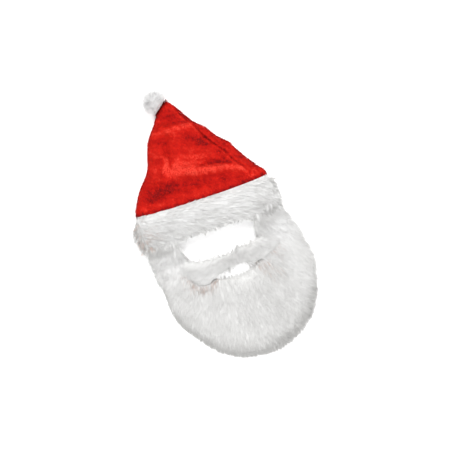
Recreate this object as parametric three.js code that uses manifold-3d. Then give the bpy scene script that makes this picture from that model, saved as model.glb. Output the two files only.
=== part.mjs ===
// A plush party hat with a beard, lying on its back: a red plush cone, a white fur band round its mouth,
// a pompom on its tip, a fur beard sewn into the band at both sides, and a fur moustache sewn across
// the beard, with the eyes' opening above it and the mouth's slit below it.
// Millimetres. +Z is up from the surface that it lies on, +Y runs towards the tip of the hat.
// The origin is on that surface, under the middle of the band.

import * as THREE from "three";
import { LoftGeometry } from "three/addons/geometries/LoftGeometry.js";
import { mergeVertices } from "three/addons/utils/BufferGeometryUtils.js";
import Module from "manifold-3d";

const wasm = await Module();
wasm.setup();
const { clamp, lerp, smoothstep } = THREE.MathUtils;

// Driving dimensions
const GAP = 0.3; // between pieces that are sewn together
const POMPOM_GAP = 0.7; // round the crown's tip, where the pompom is tied on
const CUT_CLEAR = 2; // a cutting shape reaches this far past an open end
const PLUSH_WALL = 3; // the crown's cloth with its short pile
const KNIT = 2; // the bare knitted ground of the fur cloth
const FUR_BED = 8; // fur cloth pressed together, under its loose locks
const FOLD = 4.5; // height of the crown's folded edge above its back wall
const FRONT_ROUND = 0.7; // how fully the front wall rises from the folds: 1 is an ellipse
const BACK_FLAT = 1.8; // how soon the back wall turns flat from the folds
const BAND_LIFT = 8.5; // the band's squashed back fur holds the crown's mouth this high
const MOUTH_LOFT = 28; // outside height of the crown where it meets the band
const MOUTH_HALF = 137; // half the crown's flat width there

// The crown from its mouth to its tip. left and right are its folded edges, lift is the height of its back
// wall, loft its outside thickness, and seam the distance of its sewn seam from the right edge.
const CROWN_ROWS = [
  { leftX: -135, leftY: 17, rightX: 135, rightY: 19, lift: BAND_LIFT, loft: MOUTH_LOFT - 1, seam: 8 },
  { leftX: -136.5, leftY: 39, rightX: 136.5, rightY: 40, lift: BAND_LIFT, loft: MOUTH_LOFT, seam: 8 },
  { leftX: -129, leftY: 57, rightX: 123, rightY: 58, lift: 5, loft: 32, seam: 16 },
  { leftX: -114, leftY: 82, rightX: 106, rightY: 82, lift: 2, loft: 35, seam: 22 },
  { leftX: -94, leftY: 105, rightX: 93, rightY: 104, lift: 0, loft: 34, seam: 23 },
  { leftX: -85, leftY: 119, rightX: 86, rightY: 118, lift: 0, loft: 32, seam: 24 },
  { leftX: -79, leftY: 138, rightX: 66, rightY: 138, lift: 0, loft: 29, seam: 20 },
  { leftX: -71, leftY: 163, rightX: 49, rightY: 163, lift: 0, loft: 26, seam: 16 },
  { leftX: -61, leftY: 179, rightX: 30, rightY: 181, lift: 0, loft: 23, seam: 8 },
  { leftX: -45, leftY: 199, rightX: 13, rightY: 208, lift: 0, loft: 20, seam: 6 },
  { leftX: -37, leftY: 212, rightX: -3, rightY: 231, lift: 1, loft: 16, seam: 5 },
  { leftX: -34, leftY: 219, rightX: -10, rightY: 236, lift: 3, loft: 10, seam: 4 },
];
const CROWN_STEPS = 18; // rings between the mouth and the tip
const INNER_END = 0.94; // the hollow's share of the crown's length
const SEAM_DEPTH = 2.5; // how far the seam pulls the plush in

// The crown's main folds, each along a straight line. rise is above the cloth round it, negative in a dent.
const CROWN_FOLDS = [
  { name: "main ridge, left", x0: -62, y0: 93, x1: -5, y1: 90, width: 15, rise: 7 },
  { name: "main ridge, right", x0: 5, y0: 87, x1: 98, y1: 62, width: 13, rise: 7 },
  { name: "crease over the ridge", x0: 16, y0: 97, x1: 62, y1: 84, width: 8, rise: -7 },
  { name: "hollow over the band", x0: -100, y0: 70, x1: 40, y1: 55, width: 16, rise: -6 },
  { name: "upright crease", x0: -36, y0: 165, x1: -40, y1: 120, width: 9, rise: -6 },
  { name: "hooked ridge", x0: -72, y0: 138, x1: -52, y1: 122, width: 10, rise: 5 },
  { name: "upper ridge", x0: -50, y0: 184, x1: 24, y1: 172, width: 10, rise: 5 },
  { name: "hollow by the seam", x0: 18, y0: 152, x1: 46, y1: 122, width: 15, rise: -5 },
  { name: "hollow under the tip", x0: -28, y0: 202, x1: 4, y1: 198, width: 9, rise: -4 },
];
const FOLDS_START = 40; // below this the band holds the crown smooth
const FOLDS_FULL = 66;

// The fur band from its lower edge to the crown's seam. half is half its width, lift and loft its back and
// its thickness, fold the height of its side edges, and sag how far its front hangs below its ends.
const BAND_ROWS = [
  { y: -34, half: 140, lift: 5, loft: 34, fold: 8, sag: 0 },
  { y: -31, half: 146, lift: 1.5, loft: 43, fold: 11.5, sag: 0 },
  { y: -20, half: 149, lift: 0, loft: 48, fold: 13, sag: 0 },
  { y: 0, half: 150, lift: 0, loft: 50, fold: 13, sag: 0 },
  { y: 18, half: 148, lift: 0, loft: 48, fold: 13, sag: 2 },
  { y: 30, half: 143, lift: 2, loft: 42, fold: 11, sag: 5 },
  { y: 35, half: 139, lift: 6, loft: 34, fold: 7, sag: 6 },
];
const BAND_STEPS = 9;
const BORE_REACH = 70; // the band's inside is cut this far each way, clear of the fringe

// The beard from the left side round the chin to the right side: its inner and its outer edge.
const BEARD_ROWS = [
  { innerX: -88, innerY: -22, outerX: -128, outerY: -22 },
  { innerX: -76, innerY: -38, outerX: -132, outerY: -38 },
  { innerX: -72, innerY: -60, outerX: -135, outerY: -60 },
  { innerX: -62, innerY: -84, outerX: -135, outerY: -93 },
  { innerX: -46, innerY: -112, outerX: -131, outerY: -130 },
  { innerX: -26, innerY: -131, outerX: -129, outerY: -164 },
  { innerX: -9, innerY: -138, outerX: -119, outerY: -199 },
  { innerX: 5, innerY: -140, outerX: -93, outerY: -236 },
  { innerX: 16, innerY: -141, outerX: -59, outerY: -273 },
  { innerX: 23, innerY: -141, outerX: -13, outerY: -297 },
  { innerX: 30, innerY: -141, outerX: 39, outerY: -300 },
  { innerX: 38, innerY: -140, outerX: 87, outerY: -284 },
  { innerX: 48, innerY: -136, outerX: 131, outerY: -252 },
  { innerX: 59, innerY: -128, outerX: 156, outerY: -204 },
  { innerX: 70, innerY: -112, outerX: 168, outerY: -150 },
  { innerX: 78, innerY: -88, outerX: 161, outerY: -105 },
  { innerX: 80, innerY: -60, outerX: 151, outerY: -66 },
  { innerX: 82, innerY: -38, outerX: 138, outerY: -38 },
  { innerX: 88, innerY: -22, outerX: 128, outerY: -22 },
];
const BEARD_STEPS = 30;
const BEARD_LIFT_START = -78; // from here the sides climb to the inside of the band
const BEARD_LIFT_END = -36;
const BEARD_FUR_FULL = -58; // from here on the fur has its full depth
const EDGE_WALL = 1.5; // thickness of the fur cloth at its cut edge

// The moustache from left to right: its upper and its lower edge.
const MOUSTACHE_ROWS = [
  { x: -84, top: -88, bottom: -94 },
  { x: -74, top: -83, bottom: -110 },
  { x: -63, top: -85, bottom: -125 },
  { x: -52, top: -89, bottom: -134 },
  { x: -40, top: -91, bottom: -135 },
  { x: -25, top: -93, bottom: -129 },
  { x: -10, top: -94, bottom: -123 },
  { x: 7, top: -95, bottom: -118 },
  { x: 25, top: -94, bottom: -115 },
  { x: 39, top: -87, bottom: -116 },
  { x: 57, top: -89, bottom: -120 },
  { x: 74, top: -84, bottom: -121 },
  { x: 90, top: -83, bottom: -115 },
  { x: 102, top: -88, bottom: -105 },
  { x: 110, top: -93, bottom: -98 },
];
const MOUSTACHE_STEPS = 22;
const MOUSTACHE_BED = 9;
const BRIDGE_LOW = 1; // it sags to this height between the two sides of the beard
const BRIDGE = { leftHigh: -8, leftLow: 14, rightLow: 28, rightHigh: 50 };

// The pompom
const POMPOM_CENTRE = new THREE.Vector3(-30, 240, 19);
const POMPOM_CORE = 19.5;
const POMPOM_LOCKS = 18;
const POMPOM_ROOT = 15.5; // distance of a lock's root from the middle

// Locks of fur, each with its own small change of size
const BEARD_LOCK = { length: 45, width: 27, height: 7 };
const RIM_LOCK = { length: 22, width: 36, height: 7 };
const BAND_LOCK = { length: 46, width: 22, height: 5 };
const FRINGE_LOCK = { length: 18, width: 24, height: 6 };
const MOUSTACHE_LOCK = { length: 30, width: 24, height: 6 };
const POMPOM_LOCK = { length: 9, width: 15, height: 6 };
const LOCK_VARIETY = { length: 0.12, width: 0.1, height: 0.15 };
const LOCK_SINK = 2; // depth of a lock's root in the fur bed
const LOCK_OVERHANG = 5; // how far a lock may hang over the edge of its strip

// Ways that the fur lies: along the band, off its ends, and down and outwards from the mouth
const BAND_NAP = new THREE.Vector3(1, -0.25, 0).normalize();
const END_NAP = new THREE.Vector3(1, -0.7, -0.2).normalize();
const FRINGE_SPREAD = 0.35; // sideways, for each unit downwards
const BEARD_FAN = { middle: 20, reach: 300 }; // sideways share at a distance of reach is 1
const MOUSTACHE_FAN = { middle: 27, reach: 90, most: 0.7 };
const RIM_DROP = -0.3; // the rim's locks turn down to the surface
const TIP_DROP = -0.12;

const UP = new THREE.Vector3(0, 0, 1);

// All columns of a table at a share of its length: a smooth Catmull-Rom curve through its rows.
function rowAt(rows, share) {
  const place = clamp(share, 0, 1) * (rows.length - 1);
  const i = Math.min(Math.floor(place), rows.length - 2);
  const t = place - i;
  const near = [-1, 0, 1, 2].map((k) => rows[clamp(i + k, 0, rows.length - 1)]);
  const blended = {};
  for (const column of Object.keys(rows[i])) {
    const [a, b, c, d] = near.map((row) => row[column]);
    blended[column] =
      b + 0.5 * t * (c - a + t * (2 * a - 5 * b + 4 * c - d + t * (3 * (b - c) + d - a)));
  }
  return blended;
}

// A repeatable number from -1 to 1 for the variety of the locks
function vary(i, j = 0) {
  const x = Math.sin(12.9898 * i + 78.233 * j) * 43758.5453;
  return 2 * (x - Math.floor(x)) - 1;
}

// A three.js geometry as a solid that can be joined and cut
function toSolid(geometry) {
  const bare = new THREE.BufferGeometry().copy(geometry);
  bare.deleteAttribute("normal");
  bare.deleteAttribute("uv");
  const merged = mergeVertices(bare, 1e-4);
  const faces = merged.index.array;
  const triVerts = [];
  for (let i = 0; i < faces.length; i += 3) {
    const [a, b, c] = faces.slice(i, i + 3);
    if (a !== b && b !== c && c !== a) triVerts.push(a, b, c);
  }
  return new wasm.Manifold(
    new wasm.Mesh({
      numProp: 3,
      vertProperties: merged.attributes.position.array,
      triVerts: new Uint32Array(triVerts),
    }),
  );
}

function loft(sections) {
  return toSolid(new LoftGeometry(sections, { capStart: true, capEnd: true }));
}

function join(solids) {
  return solids.reduce((all, one) => all.add(one));
}

// The main body of a cut solid, without the crumbs that the cut leaves
function mainBody(solid) {
  return solid.decompose().reduce((a, b) => (a.volume() > b.volume() ? a : b));
}

// What the surface underneath presses flat
const SURFACE = { width: 600, length: 900, depth: 60 };
const surface = toSolid(
  new THREE.BoxGeometry(SURFACE.width, SURFACE.length, SURFACE.depth).translate(0, 0, -SURFACE.depth / 2),
);

function shares(count) {
  return Array.from({ length: count + 1 }, (_, i) => i / count);
}

// The flattened sleeve that the crown and the band share. A point on it goes by the angle that runs from
// the left fold, 0, to the right fold, PI, across its front or its back. grow moves the walls outwards.
function sleevePoint(section, angle, back, grow) {
  const { leftX, leftY, rightX, rightY, lift, loft: high, fold } = section;
  const width = Math.hypot(rightX - leftX, rightY - leftY);
  const across = (1 - Math.cos(angle)) / 2;
  const share = lerp(-grow, width + grow, across) / width;
  const rise = Math.max(0, Math.sin(angle));
  const z = back
    ? lift + fold - (fold + grow) * Math.min(1, BACK_FLAT * rise)
    : lift + fold + (high - fold + grow) * rise ** FRONT_ROUND;
  return new THREE.Vector3(lerp(leftX, rightX, share), lerp(leftY, rightY, share), z);
}

// The angles of a sleeve's front columns. One column follows the sewn seam near the right fold.
const FRONT_COLUMNS = 22;
const SEAM_COLUMN = 18;
const BACK_COLUMNS = 8;

function frontAngles(section) {
  const width = Math.hypot(section.rightX - section.leftX, section.rightY - section.leftY);
  const seamAngle = Math.acos(2 * (section.seam / width) - 1);
  return shares(FRONT_COLUMNS).map((share) => {
    const column = share * FRONT_COLUMNS;
    const past = (column - SEAM_COLUMN) / (FRONT_COLUMNS - SEAM_COLUMN);
    return column <= SEAM_COLUMN
      ? (seamAngle * column) / SEAM_COLUMN
      : lerp(seamAngle, Math.PI, past);
  });
}

// A ring of the sleeve: the front wall from left to right, then the back wall from right to left.
// change moves each front point, by its angle and column.
function sleeveRing(section, grow, change = (point) => point) {
  const front = frontAngles(section).map((angle, column) =>
    change(sleevePoint(section, angle, false, grow), angle, column),
  );
  const back = shares(BACK_COLUMNS)
    .slice(1, -1)
    .map((share) => sleevePoint(section, Math.PI * (1 - share), true, grow));
  return [...front, ...back];
}

// Crown

function crownSection(share) {
  const row = rowAt(CROWN_ROWS, share);
  return { ...row, lift: Math.max(0, row.lift), fold: FOLD };
}

// Height of the folds over the smooth crown: each is a bell across its line, round its ends
function foldRelief(x, y) {
  return CROWN_FOLDS.reduce((sum, { x0, y0, x1, y1, width, rise }) => {
    const [lineX, lineY] = [x1 - x0, y1 - y0];
    const place = ((x - x0) * lineX + (y - y0) * lineY) / (lineX ** 2 + lineY ** 2);
    const nearest = clamp(place, 0, 1);
    const distance = Math.hypot(x - x0 - nearest * lineX, y - y0 - nearest * lineY);
    return sum + rise * Math.exp(-((distance / width) ** 2));
  }, 0);
}

function crownRing(share, grow) {
  const groove = grow > 0 ? 0 : SEAM_DEPTH; // a larger form is for cutting, and has no groove
  return sleeveRing(crownSection(share), grow, (point, angle, column) => {
    const held = smoothstep(point.y, FOLDS_START, FOLDS_FULL);
    const seam = column === SEAM_COLUMN ? held * groove : 0;
    const fade = Math.sqrt(Math.max(0, Math.sin(angle)));
    point.z += fade * (held * foldRelief(point.x, point.y) - seam);
    return point;
  });
}

// The outside of the crown as a solid body, a little larger than the crown where grow is more than 0
function crownForm(grow) {
  const rings = shares(CROWN_STEPS).map((share) => crownRing(share, grow));
  const tip = crownSection(1);
  const onward = new THREE.Vector3(tip.leftY - tip.rightY, tip.rightX - tip.leftX, 0).setLength(grow);
  return loft([...rings.slice(0, -1), rings.at(-1).map((point) => point.add(onward))]);
}

function makeCrown() {
  const inside = shares(CROWN_STEPS).map((share) => crownRing(share * INNER_END, -PLUSH_WALL));
  const mouth = inside[0].map((point) => point.clone().setY(point.y - CUT_CLEAR));
  return crownForm(0).subtract(loft([mouth, ...inside]));
}

// Locks

// One lock of fur: three-cornered sections along a line that leaves the bed at root, arches along nap
// and thins to its tip. up is the way that the bed faces. Its flanks slope, so a larger lock for cutting
// gains more than grow at its foot and its crest.
const LOCK_SECTIONS = [
  { along: 0, wide: 0.6, crest: 0.15, keel: -1 },
  { along: 0.4, wide: 1, crest: 0.9, keel: -1 },
  { along: 0.8, wide: 0.62, crest: 0.7, keel: -0.6 },
  { along: 1, wide: 0.05, crest: 0.15, keel: -0.4 },
];

function lock(root, nap, up, { length, width, height }, grow = 0) {
  const right = new THREE.Vector3().crossVectors(nap, up).normalize();
  const place = (along, side, rise) =>
    root
      .clone()
      .addScaledVector(nap, along * (length + 2 * grow) - grow)
      .addScaledVector(right, side)
      .addScaledVector(up, rise);
  return loft(
    LOCK_SECTIONS.map(({ along, wide, crest, keel }) => {
      const half = wide * (width / 2) + 3 * grow;
      const low = keel * LOCK_SINK - grow;
      const high = crest * height + 2 * grow;
      return [place(along, -half, low), place(along, 0, high), place(along, half, low)];
    }),
  );
}

function sized(size, i, j) {
  return {
    length: size.length * (1 + LOCK_VARIETY.length * vary(i, j)),
    width: size.width * (1 + LOCK_VARIETY.width * vary(j, i)),
    height: size.height * (1 + LOCK_VARIETY.height * vary(i + j, j)),
  };
}

// Band

const MOUTH = {
  leftX: -MOUTH_HALF - GAP,
  rightX: MOUTH_HALF + GAP,
  lift: BAND_LIFT - GAP,
  loft: MOUTH_LOFT + 3 * GAP,
  fold: FOLD + GAP,
  seam: 8,
};

function bandSection(share) {
  const row = rowAt(BAND_ROWS, share);
  const level = { leftY: row.y, rightY: row.y, seam: MOUTH.seam };
  return { ...row, ...level, leftX: -row.half, rightX: row.half };
}

function bandPoint(angle, share, grow = 0) {
  const section = bandSection(share);
  const point = sleevePoint(section, angle, false, grow);
  point.y -= section.sag * Math.sin(angle);
  return point;
}

function bandUp(angle, share) {
  const step = 0.01;
  const across = bandPoint(angle + step, share).sub(bandPoint(angle - step, share));
  const along = bandPoint(angle, share + step).sub(bandPoint(angle, share - step));
  return across.cross(along).normalize();
}

function bandLock(angle, share, heading, size, grow) {
  const up = bandUp(angle, share);
  const nap = heading.clone().addScaledVector(up, -heading.dot(up)).normalize();
  return lock(bandPoint(angle, share), nap, up, size, grow);
}

// Locks lie along the band in rows, sweep off its ends, and hang as a fringe from its lower edge.
const BAND_LOCK_ROWS = [
  { share: 0.46, first: 0.16, last: 0.74, count: 8 },
  { share: 0.72, first: 0.12, last: 0.7, count: 8 },
];
const FRINGE = { share: 0.2, first: 0.1, last: 0.9, count: 13 };
const END_LOCKS = { shares: [0.35, 0.62], turn: 0.09 };

function bandLocks(grow) {
  const locks = [];
  BAND_LOCK_ROWS.forEach(({ share, first, last, count }, j) =>
    shares(count - 1).forEach((place, i) => {
      const angle = Math.PI * lerp(first, last, place);
      locks.push(bandLock(angle, share, BAND_NAP, sized(BAND_LOCK, i, j), grow));
    }),
  );
  shares(FRINGE.count - 1).forEach((place, i) => {
    const angle = Math.PI * lerp(FRINGE.first, FRINGE.last, place);
    const down = new THREE.Vector3(FRINGE_SPREAD * vary(i, place), -1, 0).normalize();
    locks.push(bandLock(angle, FRINGE.share, down, sized(FRINGE_LOCK, i, place), grow));
  });
  END_LOCKS.shares.forEach((share, i) => {
    const size = sized(FRINGE_LOCK, i, share);
    const left = END_NAP.clone().setX(-END_NAP.x);
    locks.push(bandLock(Math.PI * END_LOCKS.turn, share, left, size, grow));
    locks.push(bandLock(Math.PI * (1 - END_LOCKS.turn), share, END_NAP, size, grow));
  });
  return locks;
}

function bandRing(share, grow) {
  const section = bandSection(share);
  const ring = sleeveRing(section, grow, (point, angle) => {
    point.y -= section.sag * Math.sin(angle);
    return point;
  });
  const outwards = new THREE.Vector3(0, grow * (2 * share - 1), 0);
  return ring.map((point) => point.add(outwards));
}

function makeBand(grow) {
  const body = loft(shares(BAND_STEPS).map((share) => bandRing(share, grow)));
  const bore = loft(
    [-BORE_REACH, BORE_REACH].map((y) => sleeveRing({ ...MOUTH, leftY: y, rightY: y }, -grow)),
  );
  return mainBody(join([body, ...bandLocks(grow)]).subtract(bore).subtract(surface));
}

// Moustache

// Height of the moustache's underside: on the beard at both sides, low where it bridges the opening
function moustacheUnder(x) {
  const low =
    smoothstep(x, BRIDGE.leftHigh, BRIDGE.leftLow) *
    (1 - smoothstep(x, BRIDGE.rightLow, BRIDGE.rightHigh));
  return lerp(FUR_BED + GAP, BRIDGE_LOW, low);
}

// A flat strip of fur cloth in section, from one edge over its top to the other and back underneath.
// place gives its underside at a share of the way across, bed and edge its depth amid and at its edges.
const UNDER_SHARES = [0.96, 0.66, 0.34, 0.04];

function stripRing(place, bed, edge, topColumns) {
  const top = shares(topColumns).map((share) => {
    const point = place(share);
    const rise = Math.sqrt(Math.max(0, Math.sin(Math.PI * share)));
    point.z += edge + (bed - edge) * rise;
    return point;
  });
  return [...top, ...UNDER_SHARES.map(place)];
}

function moustacheRing(share, grow) {
  const { x, top, bottom } = rowAt(MOUSTACHE_ROWS, share);
  const under = moustacheUnder(x) - grow;
  const outwards = x + grow * (2 * share - 1);
  const place = (t) => new THREE.Vector3(outwards, lerp(top + 2 * grow, bottom - 2 * grow, t), under);
  return stripRing(place, MOUSTACHE_BED + 2 * grow, EDGE_WALL + 2 * grow, 6);
}

// Locks lie in two staggered rows from the parting above the middle of the mouth down and outwards.
const MOUSTACHE_LOCK_ROWS = [
  { across: 0.14, first: 0.12, last: 0.9, count: 7 },
  { across: 0.42, first: 0.2, last: 0.86, count: 6 },
];

function moustacheLocks(grow) {
  return MOUSTACHE_LOCK_ROWS.flatMap(({ across, first, last, count }, j) =>
    shares(count - 1).map((place, i) => {
      const { x, top, bottom } = rowAt(MOUSTACHE_ROWS, lerp(first, last, place));
      const y = lerp(top, bottom, across);
      const root = new THREE.Vector3(x, y, moustacheUnder(x) + MOUSTACHE_BED - LOCK_SINK);
      const { middle, reach, most } = MOUSTACHE_FAN;
      const nap = new THREE.Vector3(clamp((x - middle) / reach, -most, most), -1, TIP_DROP).normalize();
      const size = sized(MOUSTACHE_LOCK, i, j);
      size.length = Math.min(size.length, y - bottom + LOCK_OVERHANG);
      return lock(root, nap, UP, size, grow);
    }),
  );
}

function makeMoustache(grow) {
  const body = loft(shares(MOUSTACHE_STEPS).map((share) => moustacheRing(share, grow)));
  return mainBody(join([body, ...moustacheLocks(grow)]).subtract(surface));
}

// Beard

// Height of the inside of the band's front wall
function bandInside(x) {
  const middle = (x - MOUTH.leftX) / (MOUTH.rightX - MOUTH.leftX);
  const angle = Math.acos(1 - 2 * clamp(middle, 0, 1));
  return sleevePoint({ ...MOUTH, leftY: 0, rightY: 0 }, angle, false, 0).z;
}

// Height of the beard's back: flat on the surface, and climbing into the band at both sides
function beardUnder(x, y) {
  const sewn = bandInside(x) - GAP - KNIT;
  return sewn * smoothstep(y, BEARD_LIFT_START, BEARD_LIFT_END);
}

// Depth of the fur bed: only the bare knit is sewn into the band
function beardBed(y) {
  return lerp(FUR_BED, KNIT, smoothstep(y, BEARD_FUR_FULL, BEARD_LIFT_END));
}

function beardRing(share) {
  const { innerX, innerY, outerX, outerY } = rowAt(BEARD_ROWS, share);
  const place = (t) => {
    const [x, y] = [lerp(innerX, outerX, t), lerp(innerY, outerY, t)];
    return new THREE.Vector3(x, y, beardUnder(x, y));
  };
  return stripRing(place, beardBed((innerY + outerY) / 2), EDGE_WALL, 6);
}

// Whether a place lies on the beard's plan: an even-odd count of the edges to its right
const BEARD_PLAN = [
  ...shares(BEARD_STEPS).map((share) => rowAt(BEARD_ROWS, share)).map((r) => [r.outerX, r.outerY]),
  ...shares(BEARD_STEPS).map((share) => rowAt(BEARD_ROWS, 1 - share)).map((r) => [r.innerX, r.innerY]),
];

function onBeard(x, y) {
  let inside = false;
  BEARD_PLAN.forEach(([x1, y1], i) => {
    const [x0, y0] = BEARD_PLAN.at(i - 1);
    if (y0 > y !== y1 > y && x < x0 + ((y - y0) / (y1 - y0)) * (x1 - x0)) inside = !inside;
  });
  return inside;
}

// The fur falls from the mouth and fans out towards the rim.
function beardNap(x) {
  return new THREE.Vector3((x - BEARD_FAN.middle) / BEARD_FAN.reach, -1, 0).normalize();
}

const LOCK_GRID = { top: -58, bottom: -284, rowStep: 36, columnStep: 30, left: -150, right: 180 };
const RIM = { first: 0.06, last: 0.94, count: 24, inset: 14, height: 0.6 };

function beardLocks() {
  const locks = [];
  for (let row = 0, y = LOCK_GRID.top; y > LOCK_GRID.bottom; row += 1, y -= LOCK_GRID.rowStep) {
    const start = LOCK_GRID.left + (row % 2) * (LOCK_GRID.columnStep / 2);
    for (let x = start; x < LOCK_GRID.right; x += LOCK_GRID.columnStep) {
      const nap = beardNap(x);
      const size = sized(BEARD_LOCK, row, x);
      const tip = [x + nap.x * size.length, y + nap.y * size.length];
      if (!onBeard(x, y) || !onBeard(...tip)) continue;
      const root = new THREE.Vector3(x, y, beardUnder(x, y) + beardBed(y) - LOCK_SINK / 2);
      const drop = beardUnder(...tip) - beardUnder(x, y);
      locks.push(lock(root, nap.setZ(drop / size.length).normalize(), UP, size));
    }
  }
  shares(RIM.count - 1).forEach((place, i) => {
    const { innerX, innerY, outerX, outerY } = rowAt(BEARD_ROWS, lerp(RIM.first, RIM.last, place));
    const outwards = new THREE.Vector3(outerX - innerX, outerY - innerY, 0).normalize();
    const root = new THREE.Vector3(outerX, outerY, 0).addScaledVector(outwards, -RIM.inset);
    root.z = beardUnder(root.x, root.y) + RIM.height * beardBed(root.y);
    const nap = outwards.add(beardNap(outerX)).setZ(RIM_DROP).normalize();
    locks.push(lock(root, nap, UP, sized(RIM_LOCK, i, place)));
  });
  return locks;
}

function makeBeard() {
  const body = loft(shares(BEARD_STEPS).map(beardRing));
  const furred = join([body, ...beardLocks()]);
  return mainBody(furred.subtract(makeBand(GAP)).subtract(makeMoustache(GAP)).subtract(surface));
}

// Pompom

// Locks stand out all round the core, evenly by the golden angle.
function makePompom() {
  const core = toSolid(new THREE.IcosahedronGeometry(POMPOM_CORE, 1));
  const golden = Math.PI * (3 - Math.sqrt(5));
  const locks = Array.from({ length: POMPOM_LOCKS }, (_, i) => {
    const z = 1 - (2 * i + 1) / POMPOM_LOCKS;
    const around = golden * i;
    const out = new THREE.Vector3(Math.cos(around), Math.sin(around), 0).multiplyScalar(Math.sqrt(1 - z * z));
    out.z = z;
    const aside = new THREE.Vector3().crossVectors(out, BAND_NAP).normalize();
    return lock(out.clone().multiplyScalar(POMPOM_ROOT), out, aside, sized(POMPOM_LOCK, i, z));
  });
  const ball = join([core, ...locks]).translate(POMPOM_CENTRE.toArray());
  return mainBody(ball.subtract(crownForm(POMPOM_GAP)).subtract(surface));
}

// Scene graph

function toMesh(name, solid, material) {
  const { numProp, vertProperties, triVerts } = solid.getMesh();
  const geometry = new THREE.BufferGeometry();
  const position = new THREE.InterleavedBuffer(vertProperties, numProp);
  geometry.setAttribute("position", new THREE.InterleavedBufferAttribute(position, 3, 0));
  geometry.setIndex(new THREE.BufferAttribute(triVerts, 1));
  geometry.computeVertexNormals();
  const mesh = new THREE.Mesh(geometry, material);
  mesh.name = name;
  return mesh;
}

const redPlush = new THREE.MeshStandardMaterial({ color: 0xc8281f, roughness: 0.9, metalness: 0 });
const whiteFur = new THREE.MeshStandardMaterial({ color: 0xefedea, roughness: 0.95, metalness: 0 });

const hat = new THREE.Group();
hat.add(
  toMesh("crown", makeCrown(), redPlush),
  toMesh("band", makeBand(0), whiteFur),
  toMesh("pompom", makePompom(), whiteFur),
  toMesh("beard", makeBeard(), whiteFur),
  toMesh("moustache", makeMoustache(0), whiteFur),
);

export default hat;
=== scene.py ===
import math

import bpy
import numpy as np
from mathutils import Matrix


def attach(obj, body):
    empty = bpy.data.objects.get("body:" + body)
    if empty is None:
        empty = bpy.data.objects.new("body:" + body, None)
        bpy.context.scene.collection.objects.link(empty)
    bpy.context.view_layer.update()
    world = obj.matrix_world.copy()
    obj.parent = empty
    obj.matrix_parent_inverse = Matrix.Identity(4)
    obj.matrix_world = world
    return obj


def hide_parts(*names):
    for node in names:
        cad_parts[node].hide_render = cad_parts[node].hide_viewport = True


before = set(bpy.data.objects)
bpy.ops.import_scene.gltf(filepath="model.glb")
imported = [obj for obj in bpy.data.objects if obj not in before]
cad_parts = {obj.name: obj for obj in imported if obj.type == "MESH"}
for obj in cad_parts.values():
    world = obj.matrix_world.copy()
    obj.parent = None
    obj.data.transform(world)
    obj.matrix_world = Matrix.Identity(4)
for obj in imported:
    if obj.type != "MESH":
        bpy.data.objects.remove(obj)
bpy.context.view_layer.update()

# Crown: a cone of red short-pile plush, cut as one panel and closed by one seam near its right edge.
# It lies flattened, a wall of cloth round a hollow that is open at the mouth, with soft folds across
# its front where the empty cloth has sunk. Lengths are in millimetres, as on the maker's pattern.
MM = 0.001
PLUSH_WALL, PLUSH_INSET = 3.0, 0.4
CROWN_FOLD = 4.5
FRONT_ROUND, BACK_FLAT = 0.7, 1.8
# Columns: left edge x and y, right edge x and y, lift of the back, thickness, seam from the right edge
CROWN_ROWS = [
    (-135.0, 17, 135.0, 19, 8.5, 27, 8),
    (-136.5, 39, 136.5, 40, 8.5, 28, 8),
    (-129.0, 57, 123.0, 58, 5.0, 32, 16),
    (-114.0, 82, 106.0, 82, 2.0, 35, 22),
    (-94.0, 105, 93.0, 104, 0.0, 34, 23),
    (-85.0, 119, 86.0, 118, 0.0, 32, 24),
    (-79.0, 138, 66.0, 138, 0.0, 29, 20),
    (-71.0, 163, 49.0, 163, 0.0, 26, 16),
    (-61.0, 179, 30.0, 181, 0.0, 23, 8),
    (-45.0, 199, 13.0, 208, 0.0, 20, 6),
    (-37.0, 212, -3.0, 231, 1.0, 16, 5),
    (-34.0, 219, -10.0, 236, 3.0, 10, 4),
]
# Lines: start x and y, end x and y, width, and here the rise of a fold over the cloth round it
CROWN_FOLDS = [
    (-62, 93, -5, 90, 15, 7.0),
    (5, 87, 98, 62, 13, 7.0),
    (16, 97, 62, 84, 8, -7.0),
    (-100, 70, 40, 55, 16, -6.0),
    (-36, 165, -40, 120, 9, -6.0),
    (-72, 138, -52, 122, 10, 5.0),
    (-50, 184, 24, 172, 10, 5.0),
    (18, 152, 46, 122, 15, -5.0),
    (-28, 202, 4, 198, 9, -4.0),
    (19, 92, 56, 82, 4, -3.0),
    (21, 97, 27, 96, 4, 3.0),
    (-15, 89, 25, 83, 5, 2.0),
    (25, 83, 99, 57, 5, 2.5),
    (-66, 136, -52, 135, 5, 2.5),
    (-49, 131, -46, 124, 5, 2.5),
    (-46, 120, -55, 100, 5, 3.0),
    (-39, 156, -39, 136, 4, -2.0),
    (-30, 186, 30, 175, 5, 2.5),
    (-88, 62, -60, 66, 7, -2.0),
    (-20, 60, 20, 52, 7, -2.0),
    (60, 52, 100, 46, 6, 2.0),
]
FOLDS_START, FOLDS_FULL = 40.0, 66.0
SEAM_DEPTH, SEAM_WIDTH, SEAM_PUCKER = 3.0, 2.6, 0.4
LIP_HEIGHT, LIP_FROM_SEAM, LIP_WIDTH = 1.5, 5.5, 3.5
CRUMPLE, CRUMPLE_AT_BAND = 0.7, 0.3
CROWN_GRID = (96, 160)
CROWN_INSIDE_ROWS, CROWN_INSIDE_END = 44, 0.94
DRIFT_WAVES, DRIFT_SPREAD = 9, (0.7, 1.5)


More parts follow.
